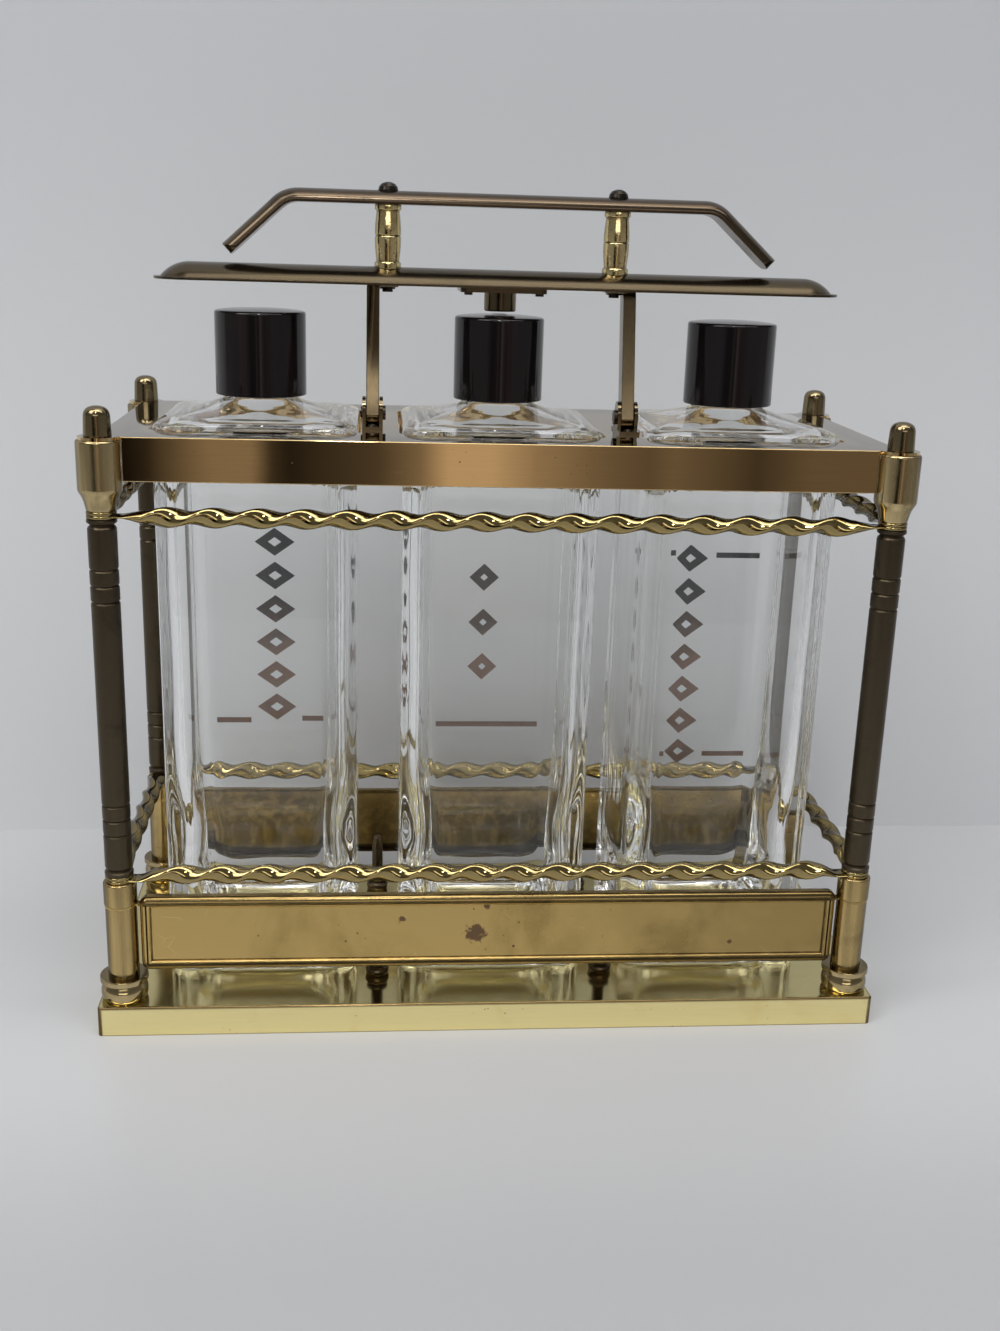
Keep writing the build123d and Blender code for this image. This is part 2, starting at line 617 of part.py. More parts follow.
def lock_plate():
    """The plate under the lid that carries the lock."""
    low = LID_RIM - LOCK_PLATE_SHEET
    half = LOCK_PLATE_WIDTH / 2
    plate = block(-LOCK_PLATE_HALF, LOCK_PLATE_HALF, LID_Y - half, LID_Y + half, low, LID_RIM)
    plate = fillet(plate.edges().filter_by(Axis.Z), 2.0)
    plate -= cylinder(0, 0, low - 1, LID_RIM + 1, LOCK_NECK_RADIUS + 0.05)
    for x, y in lock_rivet_places():
        plate -= cylinder(x, y, low - 1, LID_RIM + 1, SMALL_RIVET_RADIUS)
    return plate


def lock_rivets():
    """Four small rivets through the lock plate and the rim of the lid."""
    low = LID_RIM - LOCK_PLATE_SHEET
    high = LID_RIM + LID_SHEET
    rivets = []
    for x, y in lock_rivet_places():
        shank = cylinder(x, y, low - 0.3, high, SMALL_RIVET_RADIUS)
        head = cylinder(x, y, low - 0.9, low, 1.6)
        rivets.append(shank + head)
    return Compound(children=rivets)


PLUG_BOTTOM = 282.3
PLUG_TOP = LID_RIDGE - 0.3
LOCK_CLEAR = 0.06


def lock_barrel():
    """The lock's body: a round case under the plate, with a neck up to the top of the lid."""
    plate_bottom = LID_RIM - LOCK_PLATE_SHEET
    case = [(LOCK_BARREL_RADIUS - 0.5, LOCK_BOTTOM), (LOCK_BARREL_RADIUS, LOCK_BOTTOM + 0.5)]
    shoulder = [(LOCK_BARREL_RADIUS, plate_bottom), (LOCK_NECK_RADIUS, plate_bottom)]
    barrel = turned(case + shoulder + [(LOCK_NECK_RADIUS, PLUG_TOP)], 0.0)
    barrel -= cylinder(0, 0, LOCK_BOTTOM - 1, PLUG_BOTTOM, BOLT_RADIUS + LOCK_CLEAR)
    return barrel - cylinder(0, 0, PLUG_BOTTOM - 0.1, PLUG_TOP + 1, PLUG_RADIUS + LOCK_CLEAR)


def lock_plug():
    """The turning plug of the lock, with a slot for a flat key."""
    plug = cylinder(0, 0, PLUG_BOTTOM, PLUG_TOP, PLUG_RADIUS)
    return plug - block(-0.6, 0.6, -2.3, 2.3, PLUG_TOP - 6.0, PLUG_TOP + 1)


def lock_bolt():
    """The round bolt that the lock pushes down into the socket of the centre cap."""
    return cylinder(0, 0, LOCK_BOTTOM, PLUG_BOTTOM - 0.3, BOLT_RADIUS)


# ---- handle -------------------------------------------------------------------------------------
HANDLE_EDGE = 0.8
HANDLE_END_CORNER = 4.5
SPOT_FACE = 1.2
HEAD_RADIUS = 3.75
HEAD_HEIGHT = 4.3
NUT_FLATS = 5.8
NUT_HEIGHT = 3.0


def handle_section():
    """A half-oval strip: flat underneath, low upright edges, an arched top."""
    half = HANDLE_DEPTH / 2
    with BuildSketch(Plane.YZ) as sketch:
        with BuildLine():
            Line((-half, 0), (half, 0))
            Line((half, 0), (half, HANDLE_EDGE))
            ThreePointArc((half, HANDLE_EDGE), (0, HANDLE_HEIGHT), (-half, HANDLE_EDGE))
            Line((-half, HANDLE_EDGE), (-half, 0))
        make_face()
    return sketch.sketch


def handle_bar():
    """The carrying handle: a half-oval strip, bent down at both ends."""
    drop = (HANDLE_TIP_X - HANDLE_BEND_X) * tan(radians(HANDLE_SLOPE))
    tip = (HANDLE_TIP_X, 0, HANDLE_BOTTOM - drop)
    bend = (HANDLE_BEND_X, 0, HANDLE_BOTTOM)
    half_path = FilletPolyline((0, 0, HANDLE_BOTTOM), bend, tip, radius=HANDLE_BEND_RADIUS)
    section = Pos(0, 0, HANDLE_BOTTOM) * handle_section()
    wing = sweep(section, path=half_path)
    tip_frame = Pos(*tip) * Rot(0, HANDLE_SLOPE, 0)
    corner = HANDLE_END_CORNER
    half = HANDLE_DEPTH / 2
    for y_side in (-1, 1):
        y_in = y_side * (half - corner)
        y_out = y_side * (half + 1)
        waste = block(-corner, 1, min(y_in, y_out), max(y_in, y_out), -3, HANDLE_HEIGHT + 3)
        waste -= cylinder(-corner, y_in, -3, HANDLE_HEIGHT + 3, corner)
        wing -= tip_frame * waste
    bar = wing + mirror(wing, Plane.YZ)
    face_z = HANDLE_BOTTOM + HANDLE_HEIGHT - SPOT_FACE
    for x in (-POST_X, POST_X):
        bar -= cylinder(x, 0, HANDLE_BOTTOM - 1, face_z + 1, SCREW_RADIUS + 0.1)
        bar -= cylinder(x, 0, face_z, face_z + 5, HEAD_RADIUS + 0.1)
    return Pos(0, LID_Y, 0) * bar


def handle_post(side):
    """A turned post of two bulges between end collars, its foot cut to sit on the dome."""
    low = LID_RIDGE
    high = HANDLE_BOTTOM
    mid = (low + high) / 2
    r = POST_RADIUS
    foot = [(r + 0.2, low - 2.0), (r + 0.2, low + 1.9), (r - 0.5, low + 2.2), (r - 0.4, low + 3.0)]
    lower_bulge = [(r - 0.1, low + 5.0), (r + 0.1, low + 7.5), (r, mid - 0.9), (r - 0.3, mid - 0.35)]
    upper_bulge = [(r - 0.3, mid + 0.35), (r, mid + 0.9), (r + 0.1, high - 7.5), (r - 0.1, high - 5.0)]
    head = [(r - 0.4, high - 3.0), (r - 0.5, high - 2.2), (r + 0.2, high - 1.9), (r + 0.2, high)]
    waist = [(r - 0.75, mid)]
    post = turned(foot + lower_bulge + waist + upper_bulge + head, SCREW_RADIUS + 0.1)
    post = Pos(side * POST_X, LID_Y, 0) * post
    return post - capsule(DOME_RADIUS + 0.02)


def handle_screws():
    """Two dome-headed screws that hold the handle, the posts, the lid and the arms together."""
    face_z = HANDLE_BOTTOM + HANDLE_HEIGHT - SPOT_FACE
    dome = [(HEAD_RADIUS, face_z), (HEAD_RADIUS, face_z + 1.3), (3.4, face_z + 2.6), (2.5, face_z + 3.6)]
    dome += [(1.2, face_z + HEAD_HEIGHT - 0.15), (0.0, face_z + HEAD_HEIGHT)]
    screws = []
    for x in (-POST_X, POST_X):
        head = turned(dome, 0.0) - block(-5, 5, -0.5, 0.5, face_z + HEAD_HEIGHT - 1.1, face_z + 9)
        shank = cylinder(0, 0, FOOT_BOTTOM - 4.1, face_z + 0.5, SCREW_RADIUS)
        screws.append(Pos(x, LID_Y, 0) * (head + shank))
    return Compound(children=screws)


def handle_nuts():
    """The nuts under the feet of the arms."""
    low = FOOT_BOTTOM - NUT_HEIGHT
    bore = SCREW_RADIUS + 0.02
    places = (-POST_X, POST_X)
    return Compound(children=[hex_nut(x, LID_Y, low, FOOT_BOTTOM, NUT_FLATS, bore) for x in places])


# ---- the whole tantalus -------------------------------------------------------------------------
def all_nodes():
    nodes = {
        "base_pan": base_pan(),
        "column_feet": at_corners(column_foot),
        "column_collars": at_corners(collar),
        "finials": at_corners(finial),
        "tie_rods": at_corners(tie_rod),
        "rod_washers": at_corners(rod_washer),
        "rod_nuts": at_corners(rod_nut),
        "divider_pegs": at_pegs(divider_peg),
        "peg_screws": at_pegs(peg_screw),
        "top_frame": top_frame(),
        "near_panel": near_panel(),
        "far_panel": Rot(0, 0, 180) * near_panel(),
        "left_hinge_bracket": hinge_bracket(-1),
        "right_hinge_bracket": hinge_bracket(1),
        "hinge_rivets": Compound(children=[Pos(x, y, 0) * hinge_rivet() for x, y in hinge_rivet_places()]),
        "hinge_pins": Compound(children=[hinge_pin(-1), hinge_pin(1)]),
        "left_arm": arm(-1),
        "right_arm": arm(1),
        "lid_plate": lid_plate(),
        "lock_plate": lock_plate(),
        "lock_rivets": lock_rivets(),
        "lock_barrel": lock_barrel(),
        "lock_plug": lock_plug(),
        "lock_bolt": lock_bolt(),
        "handle_bar": handle_bar(),
        "left_handle_post": handle_post(-1),
        "right_handle_post": handle_post(1),
        "handle_screws": handle_screws(),
        "handle_nuts": handle_nuts(),
    }
    nodes.update(rails())
    for corner, (x, y) in CORNERS.items():
        nodes[corner + "_sleeve"] = Pos(x, y, 0) * lower_sleeve()
        nodes[corner + "_tube"] = Pos(x, y, 0) * main_tube()
        nodes[corner + "_cup"] = Pos(x, y, 0) * cup()
    for place, x in BOTTLE_XS.items():
        nodes[place + "_bottle"] = Pos(x, 0, 0) * bottle()
        nodes[place + "_cap"] = Pos(x, 0, 0) * cap(with_socket=place == "centre")
        nodes[place + "_cap_liner"] = Pos(x, 0, 0) * cap_liner()
    return nodes


os.makedirs("parts", exist_ok=True)
for node_name, shape in all_nodes().items():
    export_step(shape, f"parts/{node_name}.step")
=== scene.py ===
# %% [markdown]
# # A brass tantalus with three glass decanters
# A tantalus is a cage that holds decanters where all can see them and nobody can open them:
# a bar with a lock lies over the stoppers until it is swung aside on its hinges.
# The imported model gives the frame: every body, its joints and the place of each part.
# Each cell below either dresses one of its parts in a finish, or models a finer piece
# that stands for it. Lengths are written in millimetres and turned to metres on use.

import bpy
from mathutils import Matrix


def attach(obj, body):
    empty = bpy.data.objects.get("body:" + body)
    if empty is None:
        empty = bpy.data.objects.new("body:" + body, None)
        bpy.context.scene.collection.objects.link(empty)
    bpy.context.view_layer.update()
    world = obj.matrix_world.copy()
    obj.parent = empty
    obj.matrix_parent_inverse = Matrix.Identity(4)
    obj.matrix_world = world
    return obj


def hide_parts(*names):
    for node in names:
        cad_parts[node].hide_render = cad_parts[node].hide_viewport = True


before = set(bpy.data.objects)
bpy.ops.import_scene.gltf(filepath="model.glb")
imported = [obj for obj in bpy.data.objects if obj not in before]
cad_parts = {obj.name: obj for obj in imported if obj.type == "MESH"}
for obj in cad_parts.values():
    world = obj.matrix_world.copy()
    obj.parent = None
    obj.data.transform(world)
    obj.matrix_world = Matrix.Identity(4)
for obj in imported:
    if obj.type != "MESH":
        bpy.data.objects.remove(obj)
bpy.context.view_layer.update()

from math import asin, cos, pi, radians, sin, sqrt

import bmesh
import bpy
from mathutils import Matrix, Vector

scene = bpy.context.scene
MM = 0.001

# %% [markdown]
# ## Camera
# The photograph was taken from a little left of the middle and above the lid, looking down.
# The cage's own straight edges give the place, the aim and the lens. A camera could also be
# aimed with a Track To constraint, but a matrix of its own axes keeps the slight roll.

# %% Camera
CAMERA_PLACE = Vector((-47.0, -571.9, 303.2)) * MM
CAMERA_RIGHT = Vector((0.9963, -0.0806, 0.0296)).normalized()
CAMERA_UP = Vector((-0.0052, 0.2872, 0.9578))
CAMERA_LENS = 38.87
SENSOR = 36.0

camera_data = bpy.data.cameras.new("camera")
camera_data.lens = CAMERA_LENS
camera_data.sensor_width = SENSOR
camera = bpy.data.objects.new("camera", camera_data)
scene.collection.objects.link(camera)
camera_back = CAMERA_RIGHT.cross(CAMERA_UP).normalized()
camera_up = camera_back.cross(CAMERA_RIGHT)
axes = Matrix((CAMERA_RIGHT, camera_up, camera_back)).transposed()
camera.matrix_world = Matrix.Translation(CAMERA_PLACE) @ axes.to_4x4()
scene.camera = camera

# %% [markdown]
# ## Small helpers for edit mode
# Each piece starts from a primitive and is shaped with edit-mode operators. Those act on
# whatever is selected, so the helpers clear the selection, and faces or edges are then picked
# by where they lie or which way they face, as one would with the mouse.


# %% Helpers: select, edit, settle
def deselect_all():
    if bpy.context.object and bpy.context.object.mode != "OBJECT":
        bpy.ops.object.mode_set(mode="OBJECT")
    bpy.ops.object.select_all(action="DESELECT")


def make_active(piece):
    deselect_all()
    piece.select_set(True)
    bpy.context.view_layer.objects.active = piece


def edit(piece):
    make_active(piece)
    bpy.ops.object.mode_set(mode="EDIT")
    bpy.ops.mesh.select_mode(type="VERT")
    bpy.ops.mesh.select_all(action="SELECT")


def settle(piece, name):
    """Names a piece and puts its place into its mesh, with the object at the origin."""
    piece.name = name
    make_active(piece)
    bpy.ops.object.transform_apply(location=True, rotation=True, scale=True)
    return piece


def pick(piece, test, kind="FACE"):
    """Selects the faces, edges or vertices that pass a test of their middle and direction."""
    bpy.ops.mesh.select_mode(type=kind)
    bpy.ops.mesh.select_all(action="DESELECT")
    mesh = bmesh.from_edit_mesh(piece.data)
    if kind == "FACE":
        for face in mesh.faces:
            face.select_set(test(face.calc_center_median() / MM, face.normal))
    elif kind == "EDGE":
        for edge in mesh.edges:
            first, second = (vert.co for vert in edge.verts)
            run = (second - first).normalized()
            edge.select_set(test((first + second) / 2 / MM, run))
    else:
        for vert in mesh.verts:
            vert.select_set(test(vert.co / MM, vert.normal))
    mesh.select_flush_mode()
    bmesh.update_edit_mesh(piece.data)


def extrude(x=0.0, y=0.0, z=0.0):
    """Pulls a new stretch out of what is selected."""
    move = {"value": (x * MM, y * MM, z * MM)}
    bpy.ops.mesh.extrude_region_move(TRANSFORM_OT_translate=move)


def close_seams():
    """Merges doubled points and turns every face outwards."""
    bpy.ops.mesh.select_all(action="SELECT")
    bpy.ops.mesh.remove_doubles(threshold=0.002 * MM)
    bpy.ops.mesh.normals_make_consistent(inside=False)


def add_margin(piece, test, width=0.5):
    """Insets big flat faces a little, so that the marks of wear stay near their edges."""
    pick(piece, test)
    bpy.ops.mesh.inset(thickness=width * MM, use_individual=True)


def apply_modifier(piece, kind, **settings):
    make_active(piece)
    modifier = piece.modifiers.new(kind.lower(), kind)
    for name, value in settings.items():
        setattr(modifier, name, value)
    bpy.ops.object.modifier_apply(modifier=modifier.name)


def smooth(piece, angle=35.0, keep_flats=True):
    """Smooth shading, in which big flat faces may stay flat up to their rounded edges."""
    make_active(piece)
    bpy.ops.object.shade_smooth_by_angle(angle=radians(angle))
    if keep_flats:
        apply_modifier(piece, "WEIGHTED_NORMAL", keep_sharp=True, weight=90)


# %% [markdown]
# ## Small helpers for whole pieces
# Most pieces start from a block, have their sharp edges eased, and are joined to or cut by
# others. Linked copies would be lighter, but each copy gets its own mesh here, because its
# place is put into the mesh. The last two helpers give a piece its finish and its body and hide
# the CAD nodes it stands for, or give CAD nodes that keep their shape a finish.


# %% Helpers: starting blocks, joining and copying
def add_box(name, low, high):
    """A cube primitive between two corners."""
    deselect_all()
    middle = [(a + b) / 2 * MM for a, b in zip(low, high)]
    size = [(b - a) * MM for a, b in zip(low, high)]
    bpy.ops.mesh.primitive_cube_add(size=1, location=middle, scale=size)
    return settle(bpy.context.object, name)


def add_disc(name, middle, radius, thick, sides=48):
    """A cylinder primitive that stands upright about its middle."""
    deselect_all()
    settings = {"vertices": sides, "radius": radius * MM, "depth": thick * MM}
    bpy.ops.mesh.primitive_cylinder_add(location=Vector(middle) * MM, **settings)
    return settle(bpy.context.object, name)


def soften(piece, width, segments=2, angle=35.0):
    """Rounds every sharp edge by a small bevel."""
    edges = {"limit_method": "ANGLE", "angle_limit": radians(angle)}
    apply_modifier(piece, "BEVEL", width=width * MM, segments=segments, **edges)


def combine(piece, other, operation="UNION"):
    """Joins another piece to this one, or cuts it away, and removes the other."""
    apply_modifier(piece, "BOOLEAN", object=other, operation=operation, solver="EXACT")
    bpy.data.objects.remove(other)


def duplicate(piece, name, move=(0, 0, 0), turn=0.0):
    """A copy with its own mesh, turned about the Z axis and then moved."""
    make_active(piece)
    bpy.ops.object.duplicate(linked=False)
    twin = bpy.context.object
    twin.rotation_euler = (0, 0, radians(turn))
    twin.location = Vector(move) * MM
    return settle(twin, name)


def mirror_left(piece):
    """Adds the left half to a piece that ends in the middle."""
    seam = {"use_mirror_merge": True, "merge_threshold": 0.01 * MM}
    apply_modifier(piece, "MIRROR", use_axis=(True, False, False), **seam)


def mirror_copy(piece, name):
    """A copy reflected left to right, with its faces turned outwards again."""
    make_active(piece)
    bpy.ops.object.duplicate(linked=False)
    twin = bpy.context.object
    twin.scale = (-1, 1, 1)
    settle(twin, name)
    edit(twin)
    bpy.ops.mesh.normals_make_consistent(inside=False)
    deselect_all()
    return twin


def fit(piece, body, slot, material, *nodes):
    """Gives a piece its finish and its body, and lets it stand for CAD nodes."""
    piece.data.materials.clear()
    piece.data.materials.append(material)
    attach(piece, body)
    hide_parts(*nodes)
    print(piece.name, len(piece.data.polygons), "faces, for", ", ".join(nodes) or "no node")


def dress(material, *nodes):
    """Gives CAD nodes that keep their own shape a finish."""
    for node in nodes:
        for material_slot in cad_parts[node].material_slots:
            material_slot.material = material


# %% [markdown]
# ## Worn edges and darkened hollows
# Handled brass is bright on its edges, and polish and dirt stay in its grooves, where the
# darkening also stands for painted shade in the creases. Baking a curvature map or using the
# Pointiness input are two ways to find those places. Here each vertex stores how far its
# neighbours rise above or fall below it, as two attributes that any material can read and
# that travel with the mesh.


# %% Edges and hollows
CURVE_GAIN = 2.2


def mark_wear(piece, gain=CURVE_GAIN):
    """Stores how sunken and how raised each vertex is, both from 0 to 1."""
    mesh = bmesh.new()
    mesh.from_mesh(piece.data)
    rise = []
    for vert in mesh.verts:
        runs = [edge.other_vert(vert).co - vert.co for edge in vert.link_edges]
        slopes = [run.normalized().dot(vert.normal) for run in runs]
        rise.append(sum(slopes) / max(len(slopes), 1))
    mesh.free()
    hollow = piece.data.attributes.new("hollow", "FLOAT", "POINT")
    edge = piece.data.attributes.new("edge", "FLOAT", "POINT")
    for index, value in enumerate(rise):
        hollow.data[index].value = min(max(value * gain, 0.0), 1.0)
        edge.data[index].value = min(max(-value * gain, 0.0), 1.0)


# %% [markdown]
# ## Shader building blocks
# Shader nodes can be placed by hand, but a finish of thirty nodes is easier to read as a list
# of steps. These helpers each add one node, link it to what feeds it and hand its output on.
# Node groups are built with named inputs, and only masks leave them.


# %% Node helpers
def feed(tree, value, socket):
    """Links a socket, or sets a plain value."""
    if isinstance(value, bpy.types.NodeSocket):
        tree.links.new(value, socket)
    else:
        socket.default_value = value


def add_noise(tree, vector, scale, detail=3.0, rough=0.55, warp=0.0):
    node = tree.nodes.new("ShaderNodeTexNoise")
    feed(tree, vector, node.inputs["Vector"])
    feed(tree, scale, node.inputs["Scale"])
    node.inputs["Detail"].default_value = detail
    node.inputs["Roughness"].default_value = rough
    node.inputs["Distortion"].default_value = warp
    return node.outputs["Fac"]


def remap(tree, value, low, high, to_low=0.0, to_high=1.0):
    node = tree.nodes.new("ShaderNodeMapRange")
    node.interpolation_type = "SMOOTHSTEP"
    feed(tree, value, node.inputs["Value"])
    feed(tree, low, node.inputs["From Min"])
    feed(tree, high, node.inputs["From Max"])
    feed(tree, to_low, node.inputs["To Min"])
    feed(tree, to_high, node.inputs["To Max"])
    return node.outputs["Result"]


def calculate(tree, operation, first, second=0.0):
    node = tree.nodes.new("ShaderNodeMath")
    node.operation = operation
    feed(tree, first, node.inputs[0])
    feed(tree, second, node.inputs[1])
    return node.outputs[0]


def scale_vector(tree, vector, factor):
    node = tree.nodes.new("ShaderNodeVectorMath")
    node.operation = "MULTIPLY"
    feed(tree, vector, node.inputs[0])
    feed(tree, factor, node.inputs[1])
    return node.outputs[0]


def mix_colour(tree, share, first, second):
    node = tree.nodes.new("ShaderNodeMix")
    node.data_type = "RGBA"
    feed(tree, share, node.inputs[0])
    feed(tree, first, node.inputs[6])
    feed(tree, second, node.inputs[7])
    return node.outputs[2]


def new_group(name, inputs, outputs):
    tree = bpy.data.node_groups.new(name, "ShaderNodeTree")
    for kind, label, value in inputs:
        socket = tree.interface.new_socket(label, in_out="INPUT", socket_type="NodeSocket" + kind)
        if value is not None:
            socket.default_value = value
    for label in outputs:
        tree.interface.new_socket(label, in_out="OUTPUT", socket_type="NodeSocketFloat")
    given = tree.nodes.new("NodeGroupInput")
    result = tree.nodes.new("NodeGroupOutput")
    return tree, given, result


def use_group(tree, group, **values):
    node = tree.nodes.new("ShaderNodeGroup")
    node.node_tree = group
    for name, value in values.items():
        feed(tree, value, node.inputs[name])
    return node.outputs


# %% [markdown]
# ## Clouds of tarnish
# Brass darkens in soft patches where it is touched least. A painted mask could show them, but
# a warped noise over a finer one needs no unwrapping, and its size and share can be set for
# each finish.

# %% Group: clouds of tarnish
clouds, given, result = new_group(
    "tarnish_clouds",
    [("Vector", "Vector", None), ("Float", "Size", 20.0), ("Float", "Share", 0.4)],
    ["Mask"],
)
WIDE_PART = 0.88
wide = add_noise(clouds, given.outputs["Vector"], given.outputs["Size"], 5.0, 0.6, 0.6)
fine_size = calculate(clouds, "MULTIPLY", given.outputs["Size"], 6.0)
fine = add_noise(clouds, given.outputs["Vector"], fine_size, 3.0)
wide = calculate(clouds, "MULTIPLY", wide, WIDE_PART)
fine = calculate(clouds, "MULTIPLY", fine, 1.0 - WIDE_PART)
both = calculate(clouds, "ADD", wide, fine)
start = calculate(clouds, "SUBTRACT", 0.78, calculate(clouds, "MULTIPLY", given.outputs["Share"], 0.5))
end = calculate(clouds, "ADD", start, 0.24)
clouds.links.new(remap(clouds, both, start, end), result.inputs["Mask"])
print("group", clouds.name, "has", len(clouds.nodes), "nodes")

# %% [markdown]
# ## Brushing lines
# Polishing leaves fine lines along the way the cloth or the lathe went. An anisotropic shader
# would blur the reflections, but it draws no line. A noise that is stretched far along one
# axis gives lines that can darken, dull and raise the metal.

# %% Group: brushing lines
brushing, given, result = new_group(
    "brushing_lines",
    [("Vector", "Vector", None), ("Vector", "Stretch", (60.0, 2000.0, 2000.0))],
    ["Lines"],
)
stretched = scale_vector(brushing, given.outputs["Vector"], given.outputs["Stretch"])
brushing.links.new(add_noise(brushing, stretched, 1.0, 2.0), result.inputs["Lines"])
print("group", brushing.name, "has", len(brushing.nodes), "nodes")

# %% [markdown]
# ## Dark specks
# Small pits and fly spots sit in loose crowds. A plain noise has no round dots, so cells are
# used: each dot is the middle of a cell, and a wide noise says where the dots grow.

# %% Group: dark specks
specks, given, result = new_group(
    "dark_specks",
    [("Vector", "Vector", None), ("Float", "Size", 400.0), ("Float", "Share", 0.2)],
    ["Mask"],
)
cells = specks.nodes.new("ShaderNodeTexVoronoi")
feed(specks, given.outputs["Vector"], cells.inputs["Vector"])
feed(specks, given.outputs["Size"], cells.inputs["Scale"])
crowd_size = calculate(specks, "MULTIPLY", given.outputs["Size"], 0.12)
crowded = add_noise(specks, given.outputs["Vector"], crowd_size, 2.0)
reach = calculate(specks, "MULTIPLY", remap(specks, crowded, 0.45, 0.7), given.outputs["Share"])
specks.links.new(remap(specks, cells.outputs["Distance"], reach, 0.0), result.inputs["Mask"])
print("group", specks.name, "has", len(specks.nodes), "nodes")

# %% [markdown]
# ## Fine scratches
# Handling leaves hairlines that run a little way and stop. They could be drawn one by one, but
# the borders between large cells already look like crossing scratches once a noise has rubbed
# most of them out.

# %% Group: scratches
scratches, given, result = new_group(
    "fine_scratches",
    [("Vector", "Vector", None), ("Float", "Size", 70.0), ("Float", "Share", 0.5)],
    ["Mask"],
)
cells = scratches.nodes.new("ShaderNodeTexVoronoi")
cells.feature = "DISTANCE_TO_EDGE"
feed(scratches, scale_vector(scratches, given.outputs["Vector"], (1.0, 1.0, 1.6)), cells.inputs["Vector"])
feed(scratches, given.outputs["Size"], cells.inputs["Scale"])
HAIRLINE = 0.018
hairline = remap(scratches, cells.outputs["Distance"], HAIRLINE, 0.0)
gap_size = calculate(scratches, "MULTIPLY", given.outputs["Size"], 1.3)
gaps = add_noise(scratches, given.outputs["Vector"], gap_size, 2.0)
kept = calculate(scratches, "MULTIPLY", given.outputs["Share"], 0.3)
some = remap(scratches, gaps, calculate(scratches, "SUBTRACT", 0.75, kept), 0.8)
scratches.links.new(calculate(scratches, "MULTIPLY", hairline, some), result.inputs["Mask"])
print("group", scratches.name, "has", len(scratches.nodes), "nodes")

# %% [markdown]
# ## Dirt and shade in hollows
# Old polish and dirt stay where a cloth doesn't reach, and the same darkening is painted shade
# in the creases. The hollow attribute says where that is, and a noise breaks it up, so that
# the darkening isn't an even line.

# %% Group: dirt and shade in hollows
hollow_shading, given, result = new_group(
    "dirt_and_shade_in_hollows",
    [("Vector", "Vector", None), ("Float", "Hollow", 0.0), ("Float", "Strength", 1.0)],
    ["Mask"],
)
broken = remap(hollow_shading, add_noise(hollow_shading, given.outputs["Vector"], 260.0, 3.0), 0.3, 0.6, 0.55, 1.0)
depth = calculate(hollow_shading, "MULTIPLY", given.outputs["Hollow"], given.outputs["Strength"])
hollow_shading.links.new(calculate(hollow_shading, "MULTIPLY", depth, broken), result.inputs["Mask"])
print("group", hollow_shading.name, "has", len(hollow_shading.nodes), "nodes")

# %% [markdown]
# ## Brass and bronze finishes
# All the metal is brass, but each part has aged in its own way: the base is bright and pale,
# the panels are dull and tan, the tubes and the lid were toned brown. Each could be a material
# of its own, but then a change would be made a dozen times. One function mixes the shared
# effects, and each finish is one call with colours and amounts of its own.


# %% Metal finish
def tone(red, green, blue):
    return (red, green, blue, 1.0)


# Dark brown for dirt, specks and brushing lines, and also the colour of the painted shade below.
DIRT_AND_SHADE = tone(0.035, 0.024, 0.014)
SPOT_RED = tone(0.13, 0.07, 0.055)
BRUSH_DEPTH = 0.05
ALONG_X = (40.0, 1800.0, 1800.0)
ALONG_Z = (1800.0, 1800.0, 60.0)
ROUND_Z = (700.0, 700.0, 2400.0)


def read_attribute(tree, name):
    node = tree.nodes.new("ShaderNodeAttribute")
    node.attribute_name = name
    return node.outputs["Fac"]


def separate(tree, vector):
    """The X, Y and Z of a vector."""
    node = tree.nodes.new("ShaderNodeSeparateXYZ")
    tree.links.new(vector, node.inputs[0])
    return node.outputs


def object_place(tree):
    return tree.nodes.new("ShaderNodeTexCoord").outputs["Object"]


def facing_mask(tree, low, high):
    """A mask of the surfaces that look up or down, for the painted shade on them."""
    normal = tree.nodes.new("ShaderNodeNewGeometry").outputs["Normal"]
    return remap(tree, calculate(tree, "ABSOLUTE", separate(tree, normal)["Z"]), low, high)


def spot_mask(tree, vector, places, raggedness=2.2):
    """Ragged round spots, each given by its place and its radius in millimetres."""
    ragged = calculate(tree, "SUBTRACT", add_noise(tree, vector, 500.0, 5.0), 0.5)
    mask = None
    for place, radius in places:
        away = tree.nodes.new("ShaderNodeVectorMath")
        away.operation = "DISTANCE"
        tree.links.new(vector, away.inputs[0])
        away.inputs[1].default_value = Vector(place) * MM
        frayed = calculate(tree, "MULTIPLY", ragged, raggedness * radius * MM)
        reach = calculate(tree, "ADD", away.outputs["Value"], frayed)
        spot = remap(tree, reach, radius * 1.05 * MM, radius * 0.6 * MM)
        mask = spot if mask is None else calculate(tree, "MAXIMUM", mask, spot)
    return mask


def fade_mask(tree, vector, axis, start, end):
    """A mask that grows along an axis from start to end in millimetres, with a wandering edge."""
    centred = calculate(tree, "SUBTRACT", add_noise(tree, vector, 60.0, 4.0), 0.5)
    wander = calculate(tree, "MULTIPLY", centred, abs(end - start) * MM)
    reach = calculate(tree, "ADD", separate(tree, vector)[axis], wander)
    return remap(tree, reach, start * MM, end * MM)


def lighter(colour, factor, lift):
    """A paler shade of a colour, for metal that is rubbed or scratched."""
    return tone(*(min(1.0, part * factor + lift) for part in colour[:3]))


def cover(tree, colour, mask, share, stain):
    """Lays a second colour over a colour, by a share of a mask; it lays stains, wear and painted shade."""
    return mix_colour(tree, calculate(tree, "MULTIPLY", mask, share), colour, stain)


def new_material(name):
    material = bpy.data.materials.new(name)
    material.use_nodes = True
    return material, material.node_tree, material.node_tree.nodes["Principled BSDF"]


